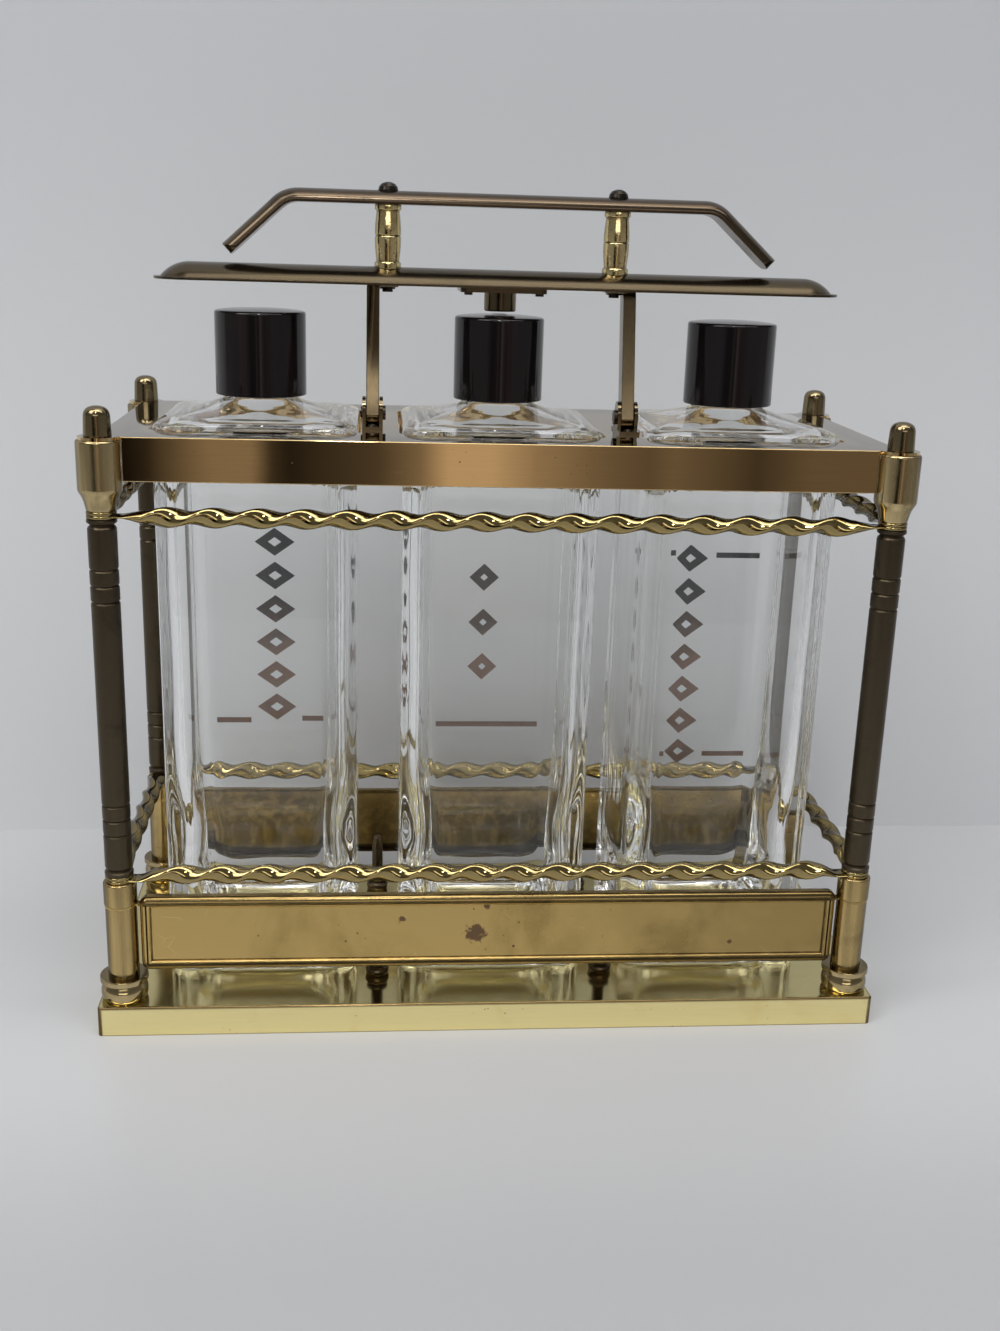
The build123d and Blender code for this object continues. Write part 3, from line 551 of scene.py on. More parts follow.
def add_bump(tree, height, strength, distance, under=None):
    """Raises a surface by a height, in millimetres, over another bump if one is given."""
    relief = tree.nodes.new("ShaderNodeBump")
    relief.inputs["Strength"].default_value = strength
    relief.inputs["Distance"].default_value = distance * MM
    tree.links.new(height, relief.inputs["Height"])
    if under is not None:
        tree.links.new(under, relief.inputs["Normal"])
    return relief.outputs["Normal"]


def metal(name, clean, stained, cloud=(20.0, 0.4), rough=(0.15, 0.28), stretch=ALONG_X, brush=0.1,
          speck=None, edge=0.5, facing_shade=None, spots=None, bump=0.12, hollow_darkness=1.0, worn=None,
          scratch=0.0, dents=None, rim=0.0, shade_fades=()):
    """A metal of two tones, with brushing, specks, dirt and painted shade in its hollows, rubbed edges, and painted
    shade by facing, band and outline.
    """
    material, tree, shader = new_material(name)
    shader.inputs["Metallic"].default_value = 1.0
    vector = object_place(tree)
    tarnish = use_group(tree, clouds, Vector=vector, Size=cloud[0], Share=cloud[1])["Mask"]
    lines = use_group(tree, brushing, Vector=vector, Stretch=stretch)["Lines"]
    hollow = read_attribute(tree, "hollow")
    hollow_dark = use_group(tree, hollow_shading, Vector=vector, Hollow=hollow, Strength=hollow_darkness)["Mask"]
    colour = mix_colour(tree, tarnish, clean, stained)
    # Painted shade: faces that look up or down are darkened by a share.
    if facing_shade:
        share, low, high = facing_shade
        colour = cover(tree, colour, facing_mask(tree, low, high), share, DIRT_AND_SHADE)
    colour = mix_colour(tree, remap(tree, lines, 0.3, 0.75, 0.0, brush), colour, DIRT_AND_SHADE)
    colour = cover(tree, colour, read_attribute(tree, "edge"), edge, worn or lighter(clean, 1.3, 0.06))
    if scratch:
        marks = use_group(tree, scratches, Vector=vector, Size=70.0, Share=0.6)["Mask"]
        colour = cover(tree, colour, marks, scratch, lighter(clean, 1.5, 0.1))
    if speck:
        dots = use_group(tree, specks, Vector=vector, Size=speck[0], Share=speck[1])["Mask"]
        colour = mix_colour(tree, dots, colour, DIRT_AND_SHADE)
    # Dirt in the hollows, and painted shade in their creases.
    colour = mix_colour(tree, hollow_dark, colour, DIRT_AND_SHADE)
    # Painted shade: bands that darken towards one end along an axis.
    for axis, start, end, share in shade_fades:
        colour = cover(tree, colour, fade_mask(tree, vector, axis, start, end), share, DIRT_AND_SHADE)
    # Painted shade: a dark outline where the surface turns away from the camera.
    if rim:
        turned = tree.nodes.new("ShaderNodeLayerWeight")
        turned.inputs["Blend"].default_value = 0.5
        away = remap(tree, turned.outputs["Facing"], 0.15, 0.85)
        colour = cover(tree, colour, away, rim, DIRT_AND_SHADE)
    dullness = remap(tree, tarnish, 0.0, 1.0, *rough)
    dullness = calculate(tree, "ADD", dullness, remap(tree, lines, 0.3, 0.7, 0.0, brush * 0.4))
    dullness = calculate(tree, "ADD", dullness, calculate(tree, "MULTIPLY", hollow_dark, 0.3))
    if spots:
        mask = spot_mask(tree, vector, spots)
        colour = cover(tree, colour, mask, 0.85, SPOT_RED)
        dullness = calculate(tree, "ADD", dullness, calculate(tree, "MULTIPLY", mask, 0.3))
    tree.links.new(colour, shader.inputs["Base Color"])
    tree.links.new(dullness, shader.inputs["Roughness"])
    uneven = None
    if dents:
        size, depth = dents
        uneven = add_bump(tree, add_noise(tree, vector, size, 2.0), 1.0, depth)
    tree.links.new(add_bump(tree, lines, bump, BRUSH_DEPTH, uneven), shader.inputs["Normal"])
    return material


# %% [markdown]
# ## The finishes
# Each call below is one finish: its clean and its stained colour, then how large and how wide
# the clouds are, how rough it is, and what marks and painted shade it bears. The spots are the
# few large stains that the real panel and frame have, at their places in millimetres.

# %% The finishes
PANEL_SPOTS = [
    ((-7.5, -57.3, 38.3), 4.6),
    ((-36.4, -57.3, 44.7), 1.5),
    ((7.9, -57.3, 32.4), 0.9),
    ((95.5, -57.3, 33.1), 1.1),
    ((-3.0, -57.3, 50.0), 1.3),
    ((-8.2, -57.3, 48.8), 0.4),
]
# Painted shade on the panel: darker on its lower roll, on its top roll and towards its right end.
PANEL_SHADE_FADES = [("Z", 27.6, 26.4, 0.86), ("Z", 51.8, 52.8, 0.60), ("X", 0.0, 120.0, 0.32)]
FRAME_SPOTS = [((-77.3, -57.3, 223.9), 0.5), ((-17.5, -57.3, 225.3), 0.3)]
# Upright dark streaks on the round sleeves and cups: streaky tarnish, and painted reflection of dark surroundings.
UPRIGHT_STREAKS_AND_SHADE = (240.0, 240.0, 7.0)
FADED_EDGE = tone(0.16, 0.105, 0.045)

base_brass = metal(
    "base_brass", tone(1.0, 0.87, 0.43), tone(0.92, 0.72, 0.31), cloud=(26.0, 0.5), rough=(0.12, 0.24),
    brush=0.04, speck=(420.0, 0.20), edge=1.0, facing_shade=(0.32, 0.75, 0.97), bump=0.05,
    worn=FADED_EDGE, scratch=0.5, dents=(16.0, 0.25))
rail_brass = metal(
    "rail_brass", tone(0.40, 0.31, 0.135), tone(0.22, 0.165, 0.075), cloud=(60.0, 0.4),
    rough=(0.08, 0.14), brush=0.06, edge=0.0, hollow_darkness=0.0, rim=0.9)
panel_brass = metal(
    "panel_brass", tone(0.62, 0.44, 0.165), tone(0.38, 0.265, 0.09), cloud=(19.0, 0.55),
    rough=(0.22, 0.31), brush=0.02, speck=(300.0, 0.22), edge=0.15, spots=PANEL_SPOTS, bump=0.015,
    scratch=0.6, dents=(14.0, 0.4), shade_fades=PANEL_SHADE_FADES)
frame_brass = metal(
    "frame_brass", tone(0.74, 0.54, 0.27), tone(0.64, 0.46, 0.22), cloud=(20.0, 0.5),
    rough=(0.02, 0.05), brush=0.06, speck=(420.0, 0.14), edge=0.4, facing_shade=(0.88, 0.75, 0.97),
    spots=FRAME_SPOTS, bump=0.03, scratch=0.4, dents=(20.0, 0.06))
foot_brass = metal(
    "foot_brass", tone(0.55, 0.43, 0.22), tone(0.22, 0.165, 0.085), cloud=(70.0, 0.5),
    rough=(0.10, 0.20), stretch=ROUND_Z, facing_shade=(0.55, 0.35, 0.95), rim=0.7)
olive_brass = metal(
    "olive_brass", tone(0.60, 0.44, 0.185), tone(0.31, 0.225, 0.095), cloud=(45.0, 0.5),
    rough=(0.10, 0.20), stretch=UPRIGHT_STREAKS_AND_SHADE, brush=0.6, rim=0.9)
cup_brass = metal(
    "cup_brass", tone(0.66, 0.52, 0.27), tone(0.30, 0.23, 0.12), cloud=(60.0, 0.5),
    rough=(0.10, 0.20), stretch=UPRIGHT_STREAKS_AND_SHADE, brush=0.5, rim=0.8)
finial_brass = metal(
    "finial_brass", tone(0.28, 0.22, 0.12), tone(0.15, 0.115, 0.06), cloud=(60.0, 0.45),
    rough=(0.14, 0.26), stretch=ROUND_Z, rim=0.5)
tube_bronze = metal(
    "tube_bronze", tone(0.088, 0.068, 0.042), tone(0.052, 0.04, 0.027), cloud=(40.0, 0.55),
    rough=(0.32, 0.44), stretch=ROUND_Z, brush=0.12, edge=0.35, rim=0.4)
# The light colour on the lid's rubbed edges is wear and also a painted highlight.
lid_bronze = metal(
    "lid_bronze", tone(0.10, 0.077, 0.047), tone(0.05, 0.038, 0.024), cloud=(26.0, 0.5),
    rough=(0.18, 0.30), brush=0.12, speck=(420.0, 0.2), edge=0.3, worn=tone(0.30, 0.23, 0.14))
# The light colour on the handle's rubbed edges is wear and also a painted highlight.
handle_bronze = metal(
    "handle_bronze", tone(0.085, 0.062, 0.043), tone(0.034, 0.024, 0.017), cloud=(30.0, 0.55),
    rough=(0.20, 0.32), brush=0.12, speck=(420.0, 0.2), edge=0.6, worn=tone(0.34, 0.26, 0.16))
arm_bronze = metal(
    "arm_bronze", tone(0.15, 0.115, 0.068), tone(0.05, 0.038, 0.024), cloud=(40.0, 0.5),
    rough=(0.14, 0.24), stretch=ALONG_Z, brush=0.12, worn=tone(0.40, 0.30, 0.17))
post_brass = metal(
    "post_brass", tone(0.92, 0.73, 0.37), tone(0.48, 0.35, 0.16), cloud=(120.0, 0.5),
    rough=(0.12, 0.22), stretch=ROUND_Z, speck=(600.0, 0.30), dents=(300.0, 0.16), rim=0.7)
black_metal = metal(
    "black_metal", tone(0.045, 0.038, 0.032), tone(0.022, 0.019, 0.017), cloud=(120.0, 0.5),
    rough=(0.26, 0.40), stretch=ROUND_Z)
peg_metal = metal(
    "peg_metal", tone(0.12, 0.088, 0.052), tone(0.05, 0.037, 0.025), cloud=(90.0, 0.5),
    rough=(0.16, 0.28), stretch=ROUND_Z)
plain_steel = metal(
    "plain_steel", tone(0.48, 0.47, 0.45), tone(0.33, 0.31, 0.29), cloud=(80.0, 0.4),
    rough=(0.28, 0.40), stretch=ROUND_Z)
print(len(bpy.data.materials), "materials so far")

# %% [markdown]
# ## Glass
# The decanters are pressed glass: clear, a little green in the depth and never quite flat. The
# waves could be modelled, but a slow bump bends what is seen through them just as well. Near
# the thick foot, where the glass cooled last, the waves are shorter and stronger.


# %% Clear glass
def clear_glass():
    material, tree, shader = new_material("clear_glass")
    shader.inputs["Base Color"].default_value = tone(0.993, 0.998, 0.994)
    shader.inputs["Roughness"].default_value = 0.0
    shader.inputs["IOR"].default_value = 1.46
    shader.inputs["Transmission Weight"].default_value = 1.0
    vector = object_place(tree)
    ripple = add_noise(tree, scale_vector(tree, vector, (26.0, 26.0, 7.0)), 1.0, 1.0)
    thick_foot = remap(tree, separate(tree, vector)["Z"], 0.095, 0.055)
    waves = add_noise(tree, scale_vector(tree, vector, (24.0, 24.0, 60.0)), 1.0, 1.0)
    strong_foot = calculate(tree, "MULTIPLY", thick_foot, 1.6)
    ripple = calculate(tree, "ADD", ripple, calculate(tree, "MULTIPLY", waves, strong_foot))
    tree.links.new(add_bump(tree, ripple, 0.25, 1.0), shader.inputs["Normal"])
    return material


glass = clear_glass()
print(glass.name, "has", len(glass.node_tree.nodes), "nodes")

# %% [markdown]
# ## Hard plastic, cork and printed ink
# The stoppers are black moulded plastic with faint reddish streaks down their sides, a painted
# reflection, and a cork disc seals them. The ink on the glass is a metallic foil, its copper
# lower down a painted reflection. Three small materials are plainer than one function with
# many switches, since they have nothing in common.


# %% Plastic, cork and ink
def moulded_plastic():
    material, tree, shader = new_material("black_plastic")
    vector = object_place(tree)
    streaks = add_noise(tree, scale_vector(tree, vector, (420.0, 420.0, 9.0)), 1.0, 3.0)
    # Painted reflection: faint reddish streaks down the sides of the black plastic.
    streak_reflection = remap(tree, streaks, 0.5, 0.8)
    shade = mix_colour(tree, streak_reflection, tone(0.007, 0.0055, 0.006), tone(0.018, 0.007, 0.008))
    tree.links.new(shade, shader.inputs["Base Color"])
    dust = remap(tree, add_noise(tree, vector, 900.0, 4.0), 0.4, 0.75, 0.07, 0.16)
    tree.links.new(dust, shader.inputs["Roughness"])
    shader.inputs["Specular IOR Level"].default_value = 0.4
    return material


def pressed_cork():
    material, tree, shader = new_material("pressed_cork")
    grain = add_noise(tree, object_place(tree), 500.0, 4.0)
    crumbs = remap(tree, grain, 0.35, 0.65)
    shade = mix_colour(tree, crumbs, tone(0.30, 0.18, 0.09), tone(0.48, 0.33, 0.19))
    tree.links.new(shade, shader.inputs["Base Color"])
    tree.links.new(remap(tree, grain, 0.2, 0.8, 0.7, 0.95), shader.inputs["Roughness"])
    return material


def printed_foil():
    """Metallic ink, nearly black above and copper lower down, where the copper is a painted reflection."""
    material, tree, shader = new_material("printed_foil")
    vector = object_place(tree)
    ragged = calculate(tree, "MULTIPLY", add_noise(tree, vector, 60.0, 4.0), 0.03)
    height = calculate(tree, "ADD", separate(tree, vector)["Z"], ragged)
    # Painted reflection: the lower marks turn copper, as if they caught light.
    lower = remap(tree, height, 0.165, 0.140)
    shade = mix_colour(tree, lower, tone(0.008, 0.003, 0.003), tone(0.34, 0.17, 0.095))
    tree.links.new(shade, shader.inputs["Base Color"])
    dullness = remap(tree, add_noise(tree, vector, 400.0, 3.0), 0.3, 0.7, 0.40, 0.6)
    tree.links.new(dullness, shader.inputs["Roughness"])
    tree.links.new(calculate(tree, "MULTIPLY", lower, 0.5), shader.inputs["Metallic"])
    shader.inputs["Specular IOR Level"].default_value = 0.03
    return material


black_plastic = moulded_plastic()
cork = pressed_cork()
foil = printed_foil()
print("made", black_plastic.name, cork.name, foil.name)

# %% [markdown]
# ## Table and wall
# A pale table and a pale wall behind it, each with painted shade: the table darkens towards the
# camera and the wall towards its head. One curved sheet would hide the line between them, but
# the photograph shows that line. The wall is seen from its front only, so that it doesn't hide
# the cage from a camera behind it.


# %% Table and wall
# Painted shade: the table is darker near the camera and the wall darker at its head.
TABLE_FAR, TABLE_NEAR_SHADED = tone(0.485, 0.485, 0.487), tone(0.385, 0.385, 0.388)
WALL_FOOT, WALL_HEAD_SHADED = tone(0.69, 0.70, 0.715), tone(0.51, 0.525, 0.545)
WALL_Y = 138.0
TABLE_EDGE_Y = -640.0


def paint(name, first, second, axis, low, high):
    """A paint that passes from one colour to another along an axis, as painted shade."""
    material, tree, shader = new_material(name)
    share = remap(tree, separate(tree, object_place(tree))[axis], low * MM, high * MM)
    tree.links.new(mix_colour(tree, share, first, second), shader.inputs["Base Color"])
    shader.inputs["Roughness"].default_value = 0.55
    return material, shader


def add_plane(name, low, high, turn=0.0):
    deselect_all()
    bpy.ops.mesh.primitive_plane_add(size=1, rotation=(turn, 0, 0))
    plane = bpy.context.object
    plane.scale = ((high[0] - low[0]) * MM, max(high[1] - low[1], high[2] - low[2]) * MM, 1)
    plane.location = [(a + b) / 2 * MM for a, b in zip(low, high)]
    return settle(plane, name)


table = add_plane("table", (-3000, TABLE_EDGE_Y, 0), (3000, 3000, 0))
table_shaded_paint, table_shader = paint("table_shaded_paint", TABLE_FAR, TABLE_NEAR_SHADED, "Y", -80, -220)
table_shader.inputs["Roughness"].default_value = 0.35
table.data.materials.append(table_shaded_paint)
wall = add_plane("wall", (-3000, WALL_Y, 0), (3000, WALL_Y, 2600), turn=pi / 2)
wall_shaded_paint, wall_shader = paint("wall_shaded_paint", WALL_FOOT, WALL_HEAD_SHADED, "Z", 150, 450)
tree = wall_shaded_paint.node_tree
one_sided = tree.nodes.new("ShaderNodeMixShader")
tree.links.new(tree.nodes.new("ShaderNodeNewGeometry").outputs["Backfacing"], one_sided.inputs[0])
tree.links.new(wall_shader.outputs[0], one_sided.inputs[1])
tree.links.new(tree.nodes.new("ShaderNodeBsdfTransparent").outputs[0], one_sided.inputs[2])
tree.links.new(one_sided.outputs[0], tree.nodes["Material Output"].inputs["Surface"])
wall.data.materials.append(wall_shaded_paint)
print("wall normal", wall.data.polygons[0].normal[:])

# %% [markdown]
# ## The room and its light
# Polished brass shows the room in front of it. A modelled room would do, but a world that
# differs by direction is lighter: the horizon has upright bands of light and dark, and the sky
# is pale above. Light Path gives each kind of ray its own world. The camera and the glass see
# plain grey, and mirrored rays see a dim room with one bright band above its horizon.

# %% The room
SKY_TOP = tone(0.80, 0.82, 0.86)
SKY_SIDE = tone(0.20, 0.195, 0.19)
SKY_SEEN = tone(0.53, 0.54, 0.56)
SKY_MIRRORED = tone(0.14, 0.137, 0.134)
SKY_BAND = tone(2.2, 2.15, 2.05)
ROOM_BANDS = [
    (-0.175, 0.005), (-0.155, 0.03), (-0.115, 0.26), (-0.088, 0.27), (-0.074, 0.05), (-0.062, 0.02),
    (0.0, 0.08), (0.030, 0.22), (0.048, 0.57), (0.080, 0.57), (0.110, 0.34), (0.150, 0.20),
    (0.190, 0.12), (0.210, 0.17), (0.240, 0.11), (0.270, 0.06), (0.310, 0.14), (0.360, 0.14),
]
ROOM_LEFT, ROOM_RIGHT = -0.25, 0.45

world = bpy.data.worlds.new("studio")
world.use_nodes = True
scene.world = world
tree = world.node_tree
sky = tree.nodes["Background"]
direction = separate(tree, tree.nodes.new("ShaderNodeTexCoord").outputs["Generated"])
from_middle = calculate(tree, "ABSOLUTE", direction["X"])
height = remap(tree, direction["Z"], 0.05, 0.75)
aside = remap(tree, from_middle, 0.35, 0.60)
ahead = calculate(tree, "MAXIMUM", calculate(tree, "MULTIPLY", direction["Y"], -1.0), 0.05)
bearing = calculate(tree, "DIVIDE", direction["X"], ahead)
from_left = calculate(tree, "SUBTRACT", bearing, ROOM_LEFT)
across = calculate(tree, "DIVIDE", from_left, ROOM_RIGHT - ROOM_LEFT)
room = tree.nodes.new("ShaderNodeValToRGB")
tree.links.new(across, room.inputs[0])
while len(room.color_ramp.elements) < len(ROOM_BANDS):
    room.color_ramp.elements.new(1.0)
for element, (place, level) in zip(room.color_ramp.elements, ROOM_BANDS):
    element.position = (place - ROOM_LEFT) / (ROOM_RIGHT - ROOM_LEFT)
    element.color = tone(level, level * 0.82, level * 0.68)
horizon = mix_colour(tree, aside, room.outputs["Color"], SKY_SIDE)
above_band_foot = remap(tree, direction["Z"], 0.12, 0.17)
below_band_head = remap(tree, direction["Z"], 0.32, 0.26)
band = calculate(tree, "MULTIPLY", above_band_foot, below_band_head)
band = calculate(tree, "MULTIPLY", band, remap(tree, from_middle, 0.38, 0.30))
mirrored = mix_colour(tree, remap(tree, direction["Z"], 0.02, 0.20), horizon, SKY_MIRRORED)
mirrored = mix_colour(tree, band, mirrored, SKY_BAND)
rays = tree.nodes.new("ShaderNodeLightPath")
plain = mix_colour(tree, height, horizon, SKY_TOP)
tree.links.new(mix_colour(tree, rays.outputs["Is Glossy Ray"], plain, mirrored), sky.inputs["Color"])
seen = tree.nodes.new("ShaderNodeBackground")
seen.inputs["Color"].default_value = SKY_SEEN
through_glass = rays.outputs["Is Transmission Ray"]
looked_at = calculate(tree, "MAXIMUM", rays.outputs["Is Camera Ray"], through_glass)
choice = tree.nodes.new("ShaderNodeMixShader")
tree.links.new(looked_at, choice.inputs[0])
tree.links.new(sky.outputs[0], choice.inputs[1])
tree.links.new(seen.outputs[0], choice.inputs[2])
tree.links.new(choice.outputs[0], tree.nodes["World Output"].inputs["Surface"])
print("room bands:", len(room.color_ramp.elements))

# %% [markdown]
# ## Lamps
# Big soft area lamps stand for a window on the left and a pale ceiling. A sun or a spot would
# throw hard shadows, which the photograph doesn't have. A long lamp washes the wall and a
# small strip puts a highlight on round metal. Thick glass needs many bounces: with the usual
# few, the light in it runs out and its edges turn black.


# %% Lamps
GLASS_BOUNCES = 24


def add_lamp(name, place, size, watts, aim=(0, 0, 150)):
    data = bpy.data.lights.new(name, "AREA")
    data.shape = "RECTANGLE"
    data.size, data.size_y = (side * MM for side in size)
    data.energy = watts
    lamp = bpy.data.objects.new(name, data)
    scene.collection.objects.link(lamp)
    lamp.location = Vector(place) * MM
    towards = (Vector(aim) - Vector(place)).normalized()
    lamp.rotation_euler = towards.to_track_quat("-Z", "Y").to_euler()
    return lamp


add_lamp("window", (-1100, -900, 1500), (900, 900), 9.0)
add_lamp("ceiling", (200, -150, 1900), (1400, 900), 9.0)
add_lamp("wall_wash", (0, -420, 1300), (2200, 200), 7.0, aim=(0, 138, 150))
add_lamp("strip", (-90, -1000, 1250), (70, 260), 2.5, aim=(0, 0, 250))

scene.view_settings.view_transform = "Standard"
scene.cycles.max_bounces = GLASS_BOUNCES
scene.cycles.transmission_bounces = GLASS_BOUNCES
scene.cycles.glossy_bounces = GLASS_BOUNCES
print("lamps:", ", ".join(lamp.name for lamp in bpy.data.lights))

# %% [markdown]
# ## The base
# The base is a shallow pan folded from sheet: a flat top with four walls turned down. It could
# be cut from a block, but sheet looks like sheet when it is made like sheet, so a box loses
# its floor, its corners are rounded, and the shell gets the thickness of the metal.

# %% Fold the base
PAN_HALF_X, PAN_HALF_Y, PAN_TOP = 154.3, 66.0, 12.1

base = add_box("base_shell", (-PAN_HALF_X, -PAN_HALF_Y, 0), (PAN_HALF_X, PAN_HALF_Y, PAN_TOP))
edit(base)
pick(base, lambda at, normal: normal.z < -0.5)
bpy.ops.mesh.delete(type="FACE")
pick(base, lambda at, run: abs(run.z) > 0.5, "EDGE")
bpy.ops.mesh.bevel(offset=1.5 * MM, segments=4, affect="EDGES")
pick(base, lambda at, run: at.z > PAN_TOP - 0.01, "EDGE")
bpy.ops.mesh.bevel(offset=0.7 * MM, segments=3, affect="EDGES")
add_margin(base, lambda at, normal: max(abs(normal.x), abs(normal.y), normal.z) > 0.99)
apply_modifier(base, "SOLIDIFY", thickness=1.0 * MM, offset=-1.0)
mark_wear(base, 6.0)
smooth(base)
fit(base, "cage", "polished_brass", base_brass, "base_pan")

# %% [markdown]
# ## The top frame
# The bottles stand through square holes in a folded tray turned upside down. Its skirts stop
# short of the columns, where the sheet runs on as a round ear. The corners of a box are cut
# out with bisecting planes, the shell is thickened, and rounded blocks punch the holes.

# %% Fold the top frame
FRAME_HALF_X, FRAME_HALF_Y = 146.0, 57.3
FRAME_TOP, SKIRT_BOTTOM, SHEET = 232.1, 216.2, 1.1
SKIRT_HALF_X, SKIRT_HALF_Y = 136.8, 47.5
HOLE_HALF, HOLE_CORNER = 38.9, 7.0
BOTTLE_X = {"left": -92.1, "centre": 0.0, "right": 92.1}
COLUMN_X, COLUMN_Y = 145.0, 55.85
EAR_RADIUS = 7.0


def cut(piece, place, normal):
    """Cuts all faces along a plane."""
    bpy.ops.mesh.select_all(action="SELECT")
    bpy.ops.mesh.bisect(plane_co=Vector(place) * MM, plane_no=normal)


def rounded_block(name, x, y, half, corner, z_low, z_high):
    block = add_box(name, (x - half, y - half, z_low), (x + half, y + half, z_high))
    edit(block)
    pick(block, lambda at, run: abs(run.z) > 0.5, "EDGE")
    bpy.ops.mesh.bevel(offset=corner * MM, segments=7, affect="EDGES")
    deselect_all()
    return block


def open_side(at, normal):
    """The open underside, and the skirts' corners that are cut out round the columns."""
    corner = abs(at.x) > SKIRT_HALF_X and abs(at.y) > SKIRT_HALF_Y
    return normal.z < -0.5 or (abs(normal.z) < 0.5 and corner)


low_corner = (-FRAME_HALF_X, -FRAME_HALF_Y, SKIRT_BOTTOM)
tray = add_box("top_tray", low_corner, (FRAME_HALF_X, FRAME_HALF_Y, FRAME_TOP))
edit(tray)
for side in (-1, 1):
    cut(tray, (side * SKIRT_HALF_X, 0, 0), (1, 0, 0))
    cut(tray, (0, side * SKIRT_HALF_Y, 0), (0, 1, 0))
pick(tray, open_side)
bpy.ops.mesh.delete(type="FACE")
apply_modifier(tray, "SOLIDIFY", thickness=SHEET * MM, offset=-1.0, use_even_offset=True)
soften(tray, 0.35, 3, 60.0)
for place, x in BOTTLE_X.items():
    punch = rounded_block("punch", x, 0, HOLE_HALF, HOLE_CORNER, FRAME_TOP - 3, FRAME_TOP + 2)
    combine(tray, punch, "DIFFERENCE")
for x in (-COLUMN_X, COLUMN_X):
    for y in (-COLUMN_Y, COLUMN_Y):
        combine(tray, add_disc("ear", (x, y, FRAME_TOP - SHEET / 2), EAR_RADIUS, SHEET))
mark_wear(tray)
smooth(tray)
fit(tray, "cage", "frame_brass", frame_brass, "top_frame")

# %% [markdown]
# ## The panels
# Each long side has a pressed plate low down: a flat field sunk inside a rounded border. The
# inset tool draws the border, an extrusion sinks the field, and a bevel rolls the border over.
# The back is hollow in the same way. The far panel is the near one turned half round.

# %% Press a panel
PANEL_HALF_X, PANEL_LOW, PANEL_HIGH = 137.8, 23.9, 55.1
PANEL_FRONT, PANEL_BACK = -58.7, -54.5
BORDER, SINK = 4.2, 1.3
SLEEVE_TOP, PANEL_EAR, PANEL_EAR_RADIUS = 51.6, 0.8, 6.2


def border_gaps(at):
    return PANEL_HALF_X - abs(at.x), min(PANEL_HIGH - at.z, at.z - PANEL_LOW)


def outer_front_edge(at, run):
    return at.y < PANEL_FRONT + 0.01 and abs(run.y) < 0.5 and min(border_gaps(at)) < 1.1


def inner_front_edge(at, run):
    return at.y < PANEL_FRONT + 0.01 and abs(run.y) < 0.5 and min(border_gaps(at)) > BORDER - 0.1


low_corner = (-PANEL_HALF_X, PANEL_FRONT, PANEL_LOW)
panel = add_box("near_plate", low_corner, (PANEL_HALF_X, PANEL_BACK, PANEL_HIGH))
edit(panel)
pick(panel, lambda at, normal: normal.y < -0.5)
bpy.ops.mesh.inset(thickness=BORDER * MM)
extrude(y=SINK)
pick(panel, lambda at, run: abs(run.y) > 0.5 and abs(at.x) > PANEL_HALF_X - 0.1, "EDGE")
bpy.ops.mesh.bevel(offset=3.2 * MM, segments=6, affect="EDGES")
pick(panel, outer_front_edge, "EDGE")
bpy.ops.mesh.bevel(offset=2.6 * MM, segments=8, affect="EDGES")
pick(panel, inner_front_edge, "EDGE")
bpy.ops.mesh.bevel(offset=1.25 * MM, segments=6, affect="EDGES")
add_margin(panel, lambda at, normal: normal.y < -0.99 and abs(at.x) < 10.0)
pick(panel, lambda at, normal: normal.y > 0.9 and at.y > PANEL_BACK - 0.01)
bpy.ops.mesh.inset(thickness=0.9 * MM)
extrude(y=-2.1)
deselect_all()
for side in (-1, 1):
    column = side * COLUMN_X
    ends = sorted((side * (PANEL_HALF_X - 1.0), column))
    high_corner = (ends[1], PANEL_BACK, SLEEVE_TOP + PANEL_EAR)
    combine(panel, add_box("tab", (ends[0], PANEL_FRONT + 1.0, SLEEVE_TOP), high_corner))
    ear_middle = (column, -COLUMN_Y, SLEEVE_TOP + PANEL_EAR / 2)
    combine(panel, add_disc("ring", ear_middle, PANEL_EAR_RADIUS, PANEL_EAR))
mark_wear(panel)
smooth(panel, 50.0)
far_panel = duplicate(panel, "far_plate", turn=180.0)
fit(panel, "cage", "panel_brass", panel_brass, "near_panel")
fit(far_panel, "cage", "panel_brass", panel_brass, "far_panel")

# %% [markdown]
# ## Turned pieces
# The columns are stacks of lathe work: a foot, a sleeve, a collar, a long grooved tube, a cup
# and a domed nut. Blender's Spin or Screw tool can turn a profile. Here a ring of vertices is
# extruded upwards and scaled to each radius in turn, which reads like a cutting list and gives
# even quads. Each piece is turned once at the origin and copied to the four columns.


# %% The lathe
def lathe(name, profile, bore=0.0, segments=56):
    """Turns (radius, height) points into a closed piece about the Z axis, round a bore or solid."""
    radius, height = profile[0]
    deselect_all()
    ring = {"vertices": segments, "radius": radius * MM, "fill_type": "NOTHING" if bore else "NGON"}
    bpy.ops.mesh.primitive_circle_add(location=(0, 0, height * MM), **ring)
    piece = settle(bpy.context.object, name)
    edit(piece)
    steps = list(profile[1:])
    if bore:
        steps += [(bore, profile[-1][1]), (bore, profile[0][1]), profile[0]]
    for next_radius, next_height in steps:
        extrude(z=next_height - height)
        ratio = next_radius / radius
        bpy.ops.transform.resize(value=(ratio, ratio, 1), center_override=(0, 0, next_height * MM))
        radius, height = next_radius, next_height
    if not bore:
        bpy.ops.mesh.select_all(action="DESELECT")
        bpy.ops.mesh.select_mode(type="EDGE")
        bpy.ops.mesh.select_non_manifold()
        bpy.ops.mesh.edge_face_add()
    close_seams()
    deselect_all()
    return piece


print("lathe ready")

# %% [markdown]
# ## The pieces of a column
# Each list reads from the bottom up as radius and height. Hollow pieces have a bore for the
# rod that runs through the whole column, and only the domed nut on top is solid.

